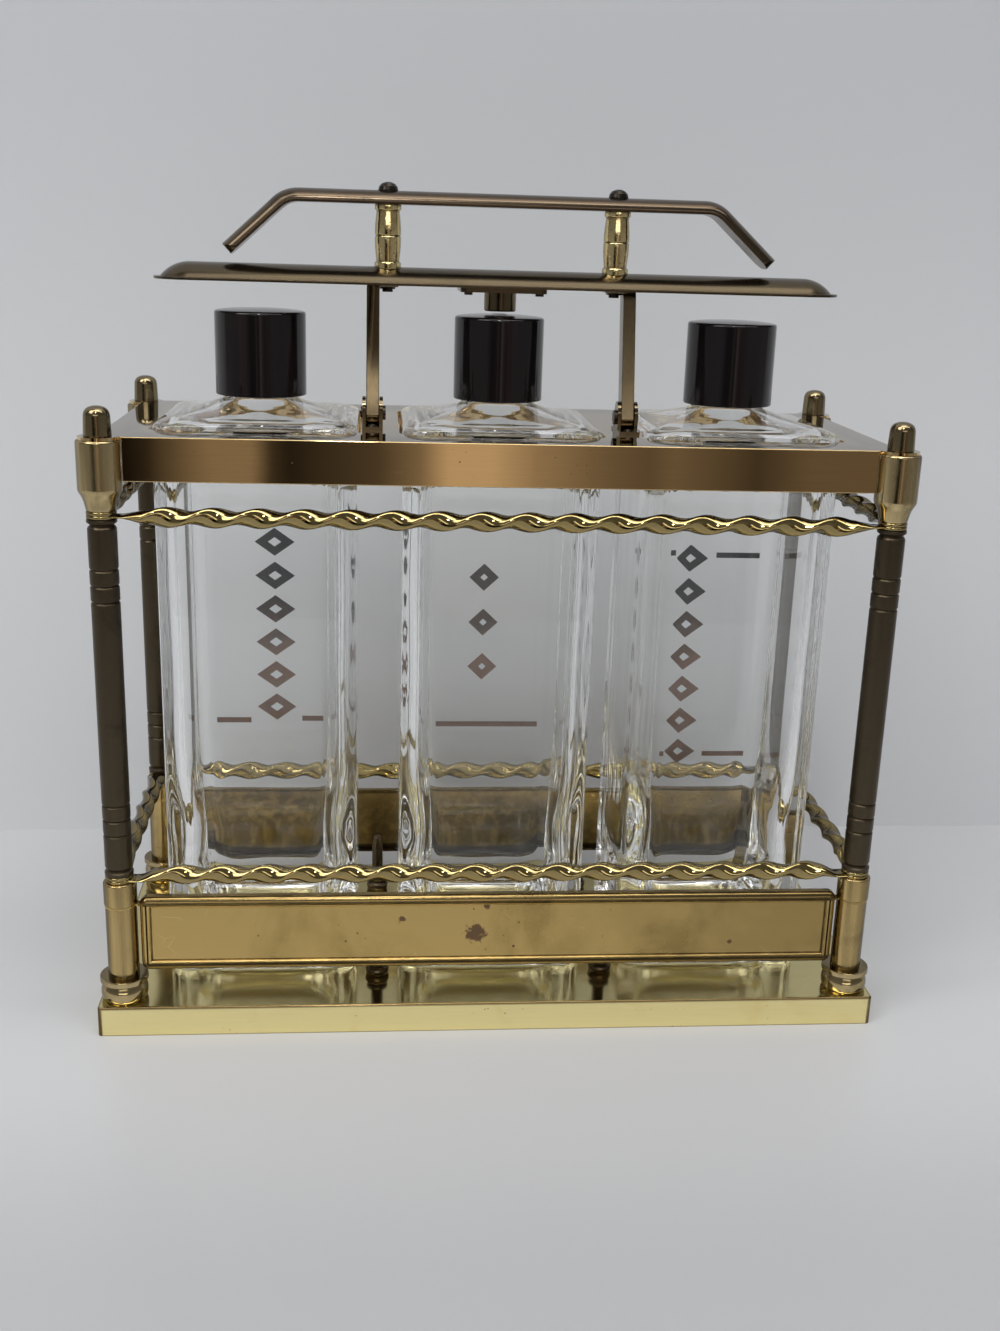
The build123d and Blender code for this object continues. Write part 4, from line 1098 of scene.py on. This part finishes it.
# %% Turn the column pieces
FOOT_TOP = PAN_TOP + 10.0
TUBE_LOW, TUBE_HIGH = 64.5, 203.0
CUP_LOW, CUP_HIGH = 205.7, FRAME_TOP - SHEET
FINIAL_TOP = 242.7
ROD_CLEAR = 2.15

z = PAN_TOP
foot = lathe("foot", [(8.0, z), (8.6, z + 0.7), (8.95, z + 1.7), (9.05, z + 3.2), (8.95, z + 4.5), (8.5, z + 5.7),
                      (7.9, z + 6.6), (7.9, z + 7.2), (8.8, z + 7.45), (9.3, z + 7.9), (9.3, z + 9.4), (9.1, z + 9.85),
                      (8.7, FOOT_TOP)], ROD_CLEAR)
sleeve = lathe("sleeve", [(5.8, FOOT_TOP), (6.0, FOOT_TOP + 0.3), (6.0, SLEEVE_TOP - 0.3), (5.8, SLEEVE_TOP)], 4.0)
collar = lathe("collar", [(6.15, 52.4), (6.35, 52.7), (6.35, 61.0), (6.2, 61.5), (5.8, 61.8)], 3.4)


def tube_profile():
    low, high = TUBE_LOW, TUBE_HIGH
    points = [(4.9, low), (5.35, low + 0.3), (5.5, low + 0.9), (5.4, low + 1.5), (4.4, low + 2.2), (4.3, low + 2.6),
              (5.0, low + 3.3), (5.25, low + 3.9)]
    for groove in (81.4, 87.4, 93.4, 172.3, 178.3, 184.3):
        points += [(5.25, groove - 0.75), (5.12, groove - 0.5), (4.75, groove)]
        points += [(5.12, groove + 0.5), (5.25, groove + 0.75)]
    points += [(5.25, high - 3.9), (5.0, high - 3.3), (4.3, high - 2.6), (4.4, high - 2.2), (5.4, high - 1.5),
               (5.5, high - 0.9), (5.35, high - 0.3), (4.9, high)]
    return points


tube = lathe("tube", tube_profile(), 3.2)
z = CUP_LOW
cup = lathe("cup", [(5.0, z), (5.3, z + 0.4), (5.5, z + 1.4), (5.85, z + 3.0), (6.4, z + 4.6), (7.1, z + 5.9),
                    (7.6, z + 6.7), (7.85, z + 7.4), (7.9, z + 8.2), (7.9, CUP_HIGH - 0.9), (7.7, CUP_HIGH - 0.35),
                    (7.2, CUP_HIGH)], 3.4)
z = FRAME_TOP
finial = lathe("finial", [(4.8, z), (4.95, z + 0.3), (4.65, z + 7.3), (4.5, z + 8.1), (4.15, z + 8.9), (3.55, z + 9.6),
                          (2.7, z + 10.1), (1.6, z + 10.45), (0.5, FINIAL_TOP - 0.02)])

# %% [markdown]
# ## The four columns
# The turned pieces are copied to the four corners. A collection instance would be lighter, but
# each piece stands for a node of its own. Every copy is turned a little about its own axis, so
# that the stains of the four columns don't repeat.

# %% Stand the four columns
CORNERS = {
    "near_left": (-COLUMN_X, -COLUMN_Y),
    "near_right": (COLUMN_X, -COLUMN_Y),
    "far_left": (-COLUMN_X, COLUMN_Y),
    "far_right": (COLUMN_X, COLUMN_Y),
}
stack = [
    (foot, "foot", "foot_brass", foot_brass, "column_feet"),
    (sleeve, "sleeve", "olive_brass", olive_brass, "{}_sleeve"),
    (collar, "collar", "olive_brass", olive_brass, "column_collars"),
    (tube, "tube", "tube_bronze", tube_bronze, "{}_tube"),
    (cup, "cup", "olive_brass", cup_brass, "{}_cup"),
    (finial, "finial", "olive_brass", finial_brass, "finials"),
]
for pattern, kind, slot_name, finish, node in stack:
    mark_wear(pattern)
    smooth(pattern, 40.0)
    for corner, (x, y) in CORNERS.items():
        turn = 40.0 * x / COLUMN_X + 15.0 * y / COLUMN_Y
        part = duplicate(pattern, f"{corner}_turned_{kind}", (x, y, 0), turn)
        fit(part, "cage", slot_name, finish, node.format(corner))
    bpy.data.objects.remove(pattern)

# %% [markdown]
# ## Divider pegs
# Four small turned pegs keep the bottles apart at their feet.

# %% Turn the pegs
z = PAN_TOP
peg = lathe("peg", [(4.0, z), (4.6, z + 0.7), (4.85, z + 1.8), (4.75, z + 2.8), (4.2, z + 3.6), (3.5, z + 4.1),
                    (3.5, z + 4.7), (4.1, z + 5.0), (4.3, z + 5.5), (4.2, z + 6.2), (3.5, z + 6.8), (2.6, z + 7.3),
                    (2.45, z + 8.0), (2.45, z + 25.2), (2.3, z + 26.0), (1.8, z + 26.6), (1.0, z + 26.9), (0.4, z + 27.0)],
            segments=32)
mark_wear(peg)
smooth(peg, 40.0)
for x in (-46.05, 46.05):
    for y in (-40.0, 40.0):
        name = ("left" if x < 0 else "right") + ("_near" if y < 0 else "_far") + "_peg"
        fit(duplicate(peg, name, (x, y, 0)), "cage", "dark_fixings", peg_metal, "divider_pegs")
bpy.data.objects.remove(peg)

# %% [markdown]
# ## Twisted rails
# A rail is a bar of oval wire that was clamped at both ends and twisted, then flattened to an
# eye at each end. A Simple Deform modifier can twist a bar, but its ends would turn too.
# Instead an oval is extruded a little at a time, with a small turn after each pull.

# %% Twist a rail
RAIL_WIDE, RAIL_NARROW = 7.6, 4.8
RAIL_SIDES = 20
EYE_THICK, EYE_RADIUS = 1.35, 5.4
TWIST_START, TAPER_START = 14.3, 7.6
HALF_TURN_LENGTH = 16.3
STEPS_PER_HALF_TURN = 14


def twist_rail(name, pitch, eye_bottom, axis_z):
    """A bar along X, twisted between two flat ends, with an eye round each rod."""
    half = pitch / 2
    twist_half = half - TWIST_START
    half_turns = round(2 * twist_half / HALF_TURN_LENGTH)
    steps = half_turns * STEPS_PER_HALF_TURN
    step = 2 * twist_half / steps
    eye_z = eye_bottom + EYE_THICK / 2
    deselect_all()
    place = {"location": (-twist_half * MM, 0, axis_z * MM), "rotation": (0, pi / 2, 0)}
    bpy.ops.mesh.primitive_circle_add(vertices=RAIL_SIDES, radius=0.5 * MM, fill_type="NGON", **place)
    bar = bpy.context.object
    bar.scale = (RAIL_NARROW, RAIL_WIDE, 1)
    settle(bar, name)
    edit(bar)
    x = -twist_half
    about_x = {"orient_axis": "X", "orient_type": "GLOBAL"}
    for _ in range(steps):
        extrude(x=step)
        x += step
        turn = radians(180.0 / STEPS_PER_HALF_TURN)
        bpy.ops.transform.rotate(value=turn, center_override=(x * MM, 0, axis_z * MM), **about_x)
    close_seams()
    for side in (-1, 1):
        pick(bar, lambda at, normal: normal.x * side > 0.9 and abs(at.x) > twist_half - 0.01)
        here, thick, level = twist_half, RAIL_NARROW, axis_z
        for share in (0.2, 0.4, 0.6, 0.8, 1.0):
            ease = share * share * (3 - 2 * share)
            goal_x = half - TWIST_START + share * (TWIST_START - TAPER_START)
            goal_thick = RAIL_NARROW + share * (EYE_THICK - RAIL_NARROW)
            goal_level = axis_z + ease * (eye_z - axis_z)
            extrude(x=side * (max(goal_x, here + 0.1) - here), z=goal_level - level)
            ratio = goal_thick / thick
            bpy.ops.transform.resize(value=(1, 1, ratio), center_override=(0, 0, goal_level * MM))
            here, thick, level = max(goal_x, here + 0.1), goal_thick, goal_level
        extrude(x=side * (half - 1.0 - here))
    deselect_all()
    for side in (-1, 1):
        eye = lathe("eye", [(EYE_RADIUS - 0.3, eye_bottom), (EYE_RADIUS, eye_bottom + 0.3),
                            (EYE_RADIUS, eye_bottom + EYE_THICK - 0.3), (EYE_RADIUS - 0.3, eye_bottom + EYE_THICK)],
                    segments=40)
        eye.location.x = side * half * MM
        combine(bar, settle(eye, "eye"))
    mark_wear(bar)
    smooth(bar, 50.0, keep_flats=False)
    return bar


LEVELS = {"lower": (61.8, 63.9), "upper": (CUP_LOW - 2 * EYE_THICK, 203.4)}
for level, (eye_bottom, axis_z) in LEVELS.items():
    long_rail = twist_rail("long_rail", 2 * COLUMN_X, eye_bottom, axis_z)
    side_rail = twist_rail("side_rail", 2 * COLUMN_Y, eye_bottom + EYE_THICK, axis_z + EYE_THICK)
    places = {
        "near": (long_rail, (0, -COLUMN_Y, 0), 0.0),
        "far": (long_rail, (0, COLUMN_Y, 0), 180.0),
        "left": (side_rail, (-COLUMN_X, 0, 0), 90.0),
        "right": (side_rail, (COLUMN_X, 0, 0), -90.0),
    }
    for place, (pattern, move, turn) in places.items():
        rail = duplicate(pattern, f"{level}_{place}_twist", move, turn)
        fit(rail, "cage", "rail_brass", rail_brass, f"{level}_{place}_rail")
    bpy.data.objects.remove(long_rail)
    bpy.data.objects.remove(side_rail)

# %% [markdown]
# ## The lid bar
# A long shallow dome with round ends inside a thin flat rim. A round dish is drawn up ring by
# ring, cut in half, slid to one end, and its open profile is pulled to the middle. A mirror
# makes the other end and Solidify gives the sheet its thickness.

# %% Press the lid
LID_HALF, LID_HALF_WIDTH, LID_FLANGE, LID_SHEET = 131.0, 13.7, 2.4, 1.0
LID_RIM, LID_RIDGE, LID_Y = 284.6, 291.1, -5.0
DOME_HALF = LID_HALF_WIDTH - LID_FLANGE
DOME_RISE = LID_RIDGE - LID_RIM - LID_SHEET
DOME_RADIUS = (DOME_HALF**2 + DOME_RISE**2) / (2 * DOME_RISE)
DOME_RINGS = 10

deselect_all()
rim_top = LID_RIM + LID_SHEET
bpy.ops.mesh.primitive_circle_add(vertices=64, radius=LID_HALF_WIDTH * MM, location=(0, 0, rim_top * MM))
lid = settle(bpy.context.object, "lid_bar")
edit(lid)
radius, height = LID_HALF_WIDTH, rim_top
steep = asin(DOME_HALF / DOME_RADIUS)
rings = [(DOME_HALF + 0.5, rim_top)]
for i in range(DOME_RINGS):
    angle = steep * (1 - i / DOME_RINGS)
    rings.append((DOME_RADIUS * sin(angle), LID_RIDGE - DOME_RADIUS + DOME_RADIUS * cos(angle)))
for next_radius, next_height in rings:
    extrude(z=next_height - height)
    ratio = next_radius / radius
    bpy.ops.transform.resize(value=(ratio, ratio, 1), center_override=(0, 0, next_height * MM))
    radius, height = next_radius, next_height
extrude(z=LID_RIDGE - height)
bpy.ops.mesh.merge(type="CENTER")
bpy.ops.mesh.select_all(action="SELECT")
bpy.ops.mesh.bisect(plane_co=(0, 0, 0), plane_no=(1, 0, 0), clear_inner=True)
bpy.ops.mesh.select_all(action="SELECT")
straight_half = LID_HALF - LID_HALF_WIDTH
bpy.ops.transform.translate(value=(straight_half * MM, LID_Y * MM, 0))
pick(lid, lambda at, run: abs(at.x - straight_half) < 0.01 and abs(run.x) < 0.1, "EDGE")
extrude(x=-straight_half)
close_seams()
mirror_left(lid)
edit(lid)
close_seams()
deselect_all()
if sum(face.normal.z * face.area for face in lid.data.polygons) < 0:
    edit(lid)
    bpy.ops.mesh.flip_normals()
    deselect_all()
apply_modifier(lid, "SOLIDIFY", thickness=LID_SHEET * MM, offset=-1.0)
soften(lid, 0.2, 2, 60.0)
mark_wear(lid)
smooth(lid, 30.0)
fit(lid, "lid", "lid_bronze", lid_bronze, "lid_plate")

# %% [markdown]
# ## The hinge arms
# Two flat bars rise from the hinges, lean back a little and bend inwards under the lid. The
# bar is drawn up from its round foot, and Spin turns its end through the bend.

# %% Bend the arms
HINGE_X, HINGE_Y, HINGE_Z = 48.95, -16.0, 237.5
ARM_HALF_X, ARM_HALF_Y = 2.45, 4.2
ARM_TOP_Y = -6.0
FOOT_END_X = 39.4
BEND_Z, BEND_INSIDE = 283.5, 0.3

inner_x = HINGE_X - ARM_HALF_X
low_corner = (inner_x, ARM_TOP_Y - ARM_HALF_Y, HINGE_Z - ARM_HALF_Y)
arm = add_box("right_bent_arm", low_corner, (HINGE_X + ARM_HALF_X, ARM_TOP_Y + ARM_HALF_Y, BEND_Z))
edit(arm)
pick(arm, lambda at, run: at.z < HINGE_Z and abs(run.x) > 0.5, "EDGE")
bpy.ops.mesh.bevel(offset=(ARM_HALF_Y - 0.02) * MM, segments=8, affect="EDGES")
pick(arm, lambda at, normal: at.z < HINGE_Z + 1.0, "VERT")
bpy.ops.transform.translate(value=(0, (HINGE_Y - ARM_TOP_Y) * MM, 0))
pick(arm, lambda at, normal: normal.z > 0.9)
bend_centre = Vector((inner_x - BEND_INSIDE, 0, BEND_Z)) * MM
bpy.ops.mesh.spin(steps=6, angle=pi / 2, center=bend_centre, axis=(0, 1, 0))
extrude(x=-(inner_x - BEND_INSIDE - FOOT_END_X))
close_seams()
deselect_all()
soften(arm, 0.35, 2, 50.0)
mark_wear(arm)
smooth(arm, 40.0)
left_arm = mirror_copy(arm, "left_bent_arm")
fit(arm, "lid", "lid_bronze", arm_bronze, "right_arm")
fit(left_arm, "lid", "lid_bronze", arm_bronze, "left_arm")

# %% [markdown]
# ## The handle
# The handle is a half-oval strip, flat below and rounded above, bent down at both ends. Half an
# oval is left when a plane cuts the lower part of a scaled circle away. Spin makes the bend, and
# a mirror the other half.

# %% Bend the handle
HANDLE_LOW, HANDLE_TALL, HANDLE_HALF_Y = 313.6, 5.0, 7.0
HANDLE_EDGE = 0.8
BEND_X, TIP_X, SLOPE, BEND_RADIUS = 80.3, 101.9, radians(42.0), 9.0
TIP_CORNER = 4.5
POST_X, SPOT_FACE_RADIUS = 43.5, 3.95

deselect_all()
oval_z = HANDLE_LOW + HANDLE_EDGE
bpy.ops.mesh.primitive_circle_add(vertices=40, radius=1 * MM, fill_type="NGON", rotation=(0, pi / 2, 0))
strip = bpy.context.object
bpy.ops.object.transform_apply(rotation=True)
strip.scale = (1, HANDLE_HALF_Y, HANDLE_TALL - HANDLE_EDGE)
strip.location = (0, LID_Y * MM, oval_z * MM)
settle(strip, "handle_strip")
edit(strip)
flat_side = (0, 0, HANDLE_LOW * MM)
bpy.ops.mesh.bisect(plane_co=flat_side, plane_no=(0, 0, 1), clear_inner=True, use_fill=False)
pick(strip, lambda at, run: True, "EDGE")
bpy.ops.mesh.delete(type="ONLY_FACE")
bpy.ops.mesh.select_all(action="SELECT")
bpy.ops.mesh.edge_face_add()
setback = BEND_RADIUS * sin(SLOPE / 2) / cos(SLOPE / 2)
bend_start = BEND_X - setback
extrude(x=bend_start)
pick(strip, lambda at, normal: at.x > bend_start - 0.01 and abs(normal.x) > 0.9)
bend_centre = Vector((bend_start, 0, HANDLE_LOW - BEND_RADIUS)) * MM
bpy.ops.mesh.spin(steps=8, angle=-SLOPE, center=bend_centre, axis=(0, 1, 0))
reach = (TIP_X - BEND_X) / cos(SLOPE) - setback
extrude(x=reach * cos(SLOPE), z=-reach * sin(SLOPE))
tip = Vector((TIP_X, LID_Y, HANDLE_LOW - (TIP_X - BEND_X) * sin(SLOPE) / cos(SLOPE)))
along = Vector((cos(SLOPE), 0, -sin(SLOPE)))
for side in (-1, 1):
    centre = tip - along * TIP_CORNER + Vector((0, side * (HANDLE_HALF_Y - TIP_CORNER), 0))
    for angle in (15, 30, 45, 60, 75):
        outward = along * cos(radians(angle)) + Vector((0, side, 0)) * sin(radians(angle))
        bpy.ops.mesh.select_all(action="SELECT")
        cut_at = (centre + outward * TIP_CORNER) * MM
        bpy.ops.mesh.bisect(plane_co=cut_at, plane_no=outward, clear_outer=True, use_fill=True)
pick(strip, lambda at, normal: at.x < 0.01 and abs(normal.x) > 0.9)
bpy.ops.mesh.delete(type="FACE")
close_seams()
mirror_left(strip)
edit(strip)
close_seams()
deselect_all()
for x in (-POST_X, POST_X):
    cutter_z = HANDLE_LOW + HANDLE_TALL + 1.3
    cutter = add_disc("spot_face", (x, LID_Y, cutter_z), SPOT_FACE_RADIUS, 5.0, sides=40)
    combine(strip, cutter, "DIFFERENCE")
soften(strip, 0.25, 2, 50.0)
mark_wear(strip)
smooth(strip, 35.0)
fit(strip, "lid", "lid_bronze", handle_bronze, "handle_bar")

# %% [markdown]
# ## The handle posts
# Two turned posts of bright brass carry the handle, each with a groove at half its height.
# The lathe turns one, and its copies are turned by different amounts.

# %% Turn the handle posts
low, high = 290.3, HANDLE_LOW
middle = (LID_RIDGE + HANDLE_LOW) / 2
post = lathe("post", [(4.8, low), (5.0, low + 0.3), (5.0, low + 2.2), (4.8, low + 2.5), (4.35, low + 2.7), (4.4, low + 3.6),
                      (4.6, low + 5.4), (4.8, low + 7.4), (4.9, low + 9.0), (4.9, middle - 0.45), (4.75, middle - 0.25),
                      (4.55, middle), (4.75, middle + 0.25), (4.9, middle + 0.45), (4.9, high - 9.0), (4.8, high - 7.0),
                      (4.6, high - 5.0), (4.4, high - 3.2), (4.35, high - 2.2), (4.8, high - 2.0), (5.0, high - 1.7),
                      (5.0, high - 0.3), (4.8, high)], segments=40)
mark_wear(post)
smooth(post, 40.0)
for side, x in (("left", -POST_X), ("right", POST_X)):
    twin = duplicate(post, side + "_turned_post", (x, LID_Y, 0), turn=x)
    fit(twin, "lid", "post_brass", post_brass, side + "_handle_post")
bpy.data.objects.remove(post)

# %% [markdown]
# ## The decanters
# Each decanter is a thick square bottle whose shoulder runs up to a round neck. Two separate
# shells would leave a false seam at the lip, so one ring of vertices is extruded up the
# outside, over the lip and down the inside. Between square and round, each ring's points are
# placed part of the way from a rounded square to a circle. The inner wall waves a little near
# the thick foot. The foot is hollow below and stands a hair above the base, because faces that
# share one plane make black patches.

# %% Blow a decanter
RING_ARC = 11
RING_FLAT = 9
RING_POINTS = 4 * (RING_ARC + RING_FLAT)


def ring_points(half, corner, roundness):
    """Points in metres round a rounded square that is part of the way to a circle."""
    per_side = RING_ARC + RING_FLAT
    points = []
    for quarter in range(4):
        square = []
        for i in range(RING_ARC):
            turn = (quarter + i / (RING_ARC - 1)) * pi / 2
            middle_turn = (quarter + 0.5) * pi / 2
            centre = Vector((cos(middle_turn), sin(middle_turn), 0)) * (half - corner) * sqrt(2)
            square.append(centre + Vector((cos(turn), sin(turn), 0)) * corner)
        following = Vector((-square[0].y, square[0].x, 0))
        for i in range(RING_FLAT):
            square.append(square[RING_ARC - 1].lerp(following, (i + 1) / (RING_FLAT + 1)))
        for i, place in enumerate(square):
            turn = (quarter + 0.5) * pi / 2 + (i - (RING_ARC - 1) / 2) * (pi / 2) / per_side
            circle = Vector((cos(turn), sin(turn), 0)) * half
            points.append(place.lerp(circle, roundness) * MM)
    return points


def add_rings(bottle, last_ring, rings):
    """Extrudes the selected ring through (height, half width, corner, roundness) rows."""
    for height, half, corner, roundness in rings:
        extrude(z=NUDGE)
        mesh = bmesh.from_edit_mesh(bottle.data)
        ring = ring_points(half, corner, roundness)
        for vert in [vert for vert in mesh.verts if vert.select]:
            away = [(point.xy - vert.co.xy).length for point in last_ring]
            goal = ring[away.index(min(away))]
            vert.co = (goal.x, goal.y, height * MM)
        last_ring = ring
        bmesh.update_edit_mesh(bottle.data)


NUDGE = 0.001
FOOT_GAP = 0.06
FOOT_HOLLOW = [(0.97, 0.1), (0.93, 0.8), (0.88, 0.5), (0.75, 0.2)]
z = PAN_TOP
OUTSIDE = [
    (z + 0.4, 36.6, 6.0, 0.0), (z + 1.1, 37.45, 6.5, 0.0), (z + 2.3, 37.9, 7.0, 0.0), (z + 4.0, 37.95, 7.0, 0.0),
    (60.0, 37.9, 7.0, 0.0), (110.0, 37.85, 7.0, 0.0), (160.0, 37.85, 7.0, 0.0), (205.0, 37.9, 7.0, 0.0),
    (229.5, 37.95, 7.0, 0.0), (231.4, 37.85, 7.1, 0.0), (232.7, 37.5, 7.2, 0.0), (233.7, 36.9, 7.4, 0.0),
    (234.5, 35.9, 7.6, 0.02), (235.1, 34.4, 8.0, 0.05), (235.6, 32.2, 9.0, 0.10), (236.2, 29.2, 10.0, 0.20),
    (236.9, 26.0, 10.5, 0.35), (237.7, 22.8, 10.5, 0.55), (238.6, 19.8, 10.5, 0.75), (239.5, 17.3, 10.5, 0.9),
    (240.4, 15.2, 10.0, 1.0), (241.2, 13.8, 10.0, 1.0), (242.0, 13.25, 10.0, 1.0), (243.5, 13.2, 10.0, 1.0),
    (265.2, 13.2, 10.0, 1.0), (265.8, 12.9, 10.0, 1.0), (266.0, 12.4, 10.0, 1.0),
]
INSIDE = [
    (266.0, 10.6, 8.0, 1.0), (265.7, 10.0, 8.0, 1.0), (265.0, 9.8, 8.0, 1.0), (242.0, 9.8, 8.0, 1.0),
    (239.6, 10.2, 8.0, 1.0), (237.4, 11.6, 8.0, 1.0), (235.6, 14.2, 8.0, 0.9), (234.2, 17.4, 8.5, 0.75),
    (233.0, 21.0, 9.0, 0.55), (231.9, 24.8, 9.5, 0.35), (230.7, 28.3, 10.0, 0.18), (229.2, 31.2, 10.0, 0.08),
    (227.4, 33.0, 10.0, 0.04), (225.0, 33.7, 10.0, 0.03), (205.0, 33.75, 10.0, 0.03), (170.0, 33.9, 10.5, 0.02),
    (140.0, 33.7, 10.0, 0.03), (110.0, 33.85, 10.3, 0.02), (96.0, 33.8, 10.4, 0.03), (88.0, 33.5, 10.8, 0.03),
    (81.0, 32.9, 10.8, 0.03), (74.0, 32.2, 10.6, 0.03), (67.0, 32.0, 10.4, 0.03), (60.0, 32.5, 10.4, 0.03),
    (53.0, 32.8, 10.6, 0.04), (46.0, 32.2, 10.8, 0.05), (40.0, 31.1, 11.0, 0.07), (34.5, 30.3, 11.2, 0.08),
    (29.5, 29.8, 11.4, 0.09), (26.2, 28.6, 11.6, 0.11), (23.8, 26.4, 11.8, 0.14), (22.2, 23.2, 11.8, 0.20),
    (21.2, 18.6, 10.0, 0.3), (20.8, 11.0, 7.0, 0.5),
]

deselect_all()
bpy.ops.mesh.primitive_circle_add(vertices=RING_POINTS, radius=30 * MM, fill_type="NOTHING")
decanter = settle(bpy.context.object, "decanter")
first_ring = ring_points(35.4, 5.2, 0.0)
for vert, place in zip(decanter.data.vertices, first_ring):
    vert.co = (place.x, place.y, (PAN_TOP + FOOT_GAP) * MM)
edit(decanter)
add_rings(decanter, first_ring, OUTSIDE + INSIDE)
bpy.ops.mesh.edge_face_add()
bpy.ops.mesh.select_all(action="DESELECT")
bpy.ops.mesh.select_mode(type="EDGE")
bpy.ops.mesh.select_non_manifold()
bpy.ops.mesh.edge_face_add()
bpy.ops.mesh.select_all(action="SELECT")
bpy.ops.mesh.normals_make_consistent(inside=False)
pick(decanter, lambda at, normal: normal.z < -0.9 and at.z < PAN_TOP + 0.1)
for shrink, upward in FOOT_HOLLOW:
    bpy.ops.mesh.inset(thickness=0.2 * MM)
    bpy.ops.transform.resize(value=(shrink, shrink, 1), center_override=(0, 0, 0))
    bpy.ops.transform.translate(value=(0, 0, upward * MM))
deselect_all()
smooth(decanter, 60.0, keep_flats=False)
for place, x in BOTTLE_X.items():
    bottle = duplicate(decanter, place + "_decanter", (x, 0, 0))
    fit(bottle, place + "_bottle_body", "bottle_glass", glass, place + "_bottle")
bpy.data.objects.remove(decanter)

# %% [markdown]
# ## The stoppers
# Tall screw caps of black plastic with a slightly domed top. The middle one has a socket for
# the lock's bolt. A cylinder with two bevels would come close, but the lathe gives the dome
# and the bore in one piece.

# %% Mould the stoppers
CAP_LOW, CAP_HIGH, CAP_RADIUS, CAP_BORE, CAP_CEILING = 242.0, 274.5, 17.4, 13.55, 267.4
side_profile = [
    (CAP_BORE, CAP_CEILING), (CAP_BORE, CAP_LOW + 0.4), (CAP_BORE + 0.4, CAP_LOW),
    (CAP_RADIUS - 0.5, CAP_LOW), (CAP_RADIUS - 0.15, CAP_LOW + 0.15), (CAP_RADIUS, CAP_LOW + 0.5),
    (CAP_RADIUS, CAP_HIGH - 2.0), (CAP_RADIUS - 0.08, CAP_HIGH - 1.6),
    (CAP_RADIUS - 0.35, CAP_HIGH - 1.2), (CAP_RADIUS - 0.9, CAP_HIGH - 0.95),
    (CAP_RADIUS - 2.4, CAP_HIGH - 0.7), (12.0, CAP_HIGH - 0.4), (8.0, CAP_HIGH - 0.17),
]
plain_top = [(4.0, CAP_HIGH - 0.05), (0.8, CAP_HIGH)]
socket_top = [(3.3, CAP_HIGH - 0.03), (2.9, CAP_HIGH - 0.2), (2.8, CAP_HIGH - 0.6), (2.8, CAP_HIGH - 4.4)]
for place, x in BOTTLE_X.items():
    top = socket_top if place == "centre" else plain_top
    stopper = lathe(place + "_stopper", side_profile + top, segments=72)
    stopper.location.x = x * MM
    settle(stopper, stopper.name)
    smooth(stopper, 40.0)
    fit(stopper, place + "_cap_body", "black_cap", black_plastic, place + "_cap")

# %% [markdown]
# ## Printed marks
# A column of metallic marks runs down the far face of each decanter, with a short bar beside
# or across its ends. Plain lozenges stand there. They are thin raised plates on the glass, each
# with a hole, so that they also read as solid marks in the mesh.

# %% Print the decanters
PRINT_Y, PRINT_THICK = 37.96, 0.10
LOZENGE_LINE = 3.3
MARK_COLUMNS = {
    "left": (-90.4, 176.0, 14.8, 6, 17.0, 12.2),
    "centre": (-0.6, 161.4, 20.2, 3, 13.0, 12.2),
    "right": (89.5, 171.0, 15.0, 7, 16.0, 12.2),
}
BARS = {
    "left": [(-117.1, -101.8, 95.8), (-79.4, -64.8, 96.6)],
    "centre": [(-22.9, 25.3, 94.1), (-24.0, 22.0, 187.0)],
    "right": [(101.1, 121.3, 172.5), (72.1, 79.6, 173.5), (100.9, 121.5, 79.8), (73.6, 80.0, 79.8)],
}
BAR_HALF = 1.2
FACING_BACK = (-pi / 2, 0, 0)


def lozenge(x, z, wide, tall):
    """A four-sided ring, drawn as a circle of four points and inset."""
    deselect_all()
    place = {"location": (x * MM, PRINT_Y * MM, z * MM), "rotation": FACING_BACK}
    bpy.ops.mesh.primitive_circle_add(vertices=4, radius=0.5 * MM, fill_type="NGON", **place)
    mark = bpy.context.object
    mark.scale = (wide, tall, 1)
    settle(mark, "mark")
    edit(mark)
    bpy.ops.mesh.inset(thickness=LOZENGE_LINE * MM)
    bpy.ops.mesh.delete(type="FACE")
    deselect_all()
    return mark


def bar_mark(x_low, x_high, z):
    deselect_all()
    at = ((x_low + x_high) / 2 * MM, PRINT_Y * MM, z * MM)
    bpy.ops.mesh.primitive_plane_add(size=1, location=at, rotation=FACING_BACK)
    mark = bpy.context.object
    mark.scale = ((x_high - x_low) * MM, 2 * BAR_HALF * MM, 1)
    return settle(mark, "mark")


for place, (x, top, pitch, count, wide, tall) in MARK_COLUMNS.items():
    marks = [lozenge(x, top - i * pitch, wide, tall) for i in range(count)]
    marks += [bar_mark(*bar) for bar in BARS[place]]
    make_active(marks[0])
    for mark in marks:
        mark.select_set(True)
    bpy.ops.object.join()
    sheet = settle(bpy.context.object, place + "_print")
    edit(sheet)
    bpy.ops.mesh.select_all(action="SELECT")
    extrude(y=PRINT_THICK)
    bpy.ops.mesh.select_all(action="SELECT")
    bpy.ops.mesh.normals_make_consistent(inside=False)
    deselect_all()
    fit(sheet, place + "_bottle_body", "lid_bronze", foil)

# %% [markdown]
# ## Parts that keep their own shape
# Rods, nuts, rivets, brackets and the lock come straight from the CAD model. They could be
# modelled again, but each already has the shape of the real piece and only needs a finish.

# %% Dress the CAD parts
dress(plain_steel, "tie_rods", "rod_washers", "rod_nuts", "lock_bolt")
dress(arm_bronze, "left_hinge_bracket", "right_hinge_bracket")
dress(black_metal, "handle_screws", "handle_nuts", "hinge_pins", "hinge_rivets", "lock_rivets", "peg_screws")
dress(arm_bronze, "lock_barrel", "lock_plug")
dress(lid_bronze, "lock_plate")
dress(cork, "left_cap_liner", "centre_cap_liner", "right_cap_liner")

print("dressed", len(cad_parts), "CAD nodes or what stands for them")
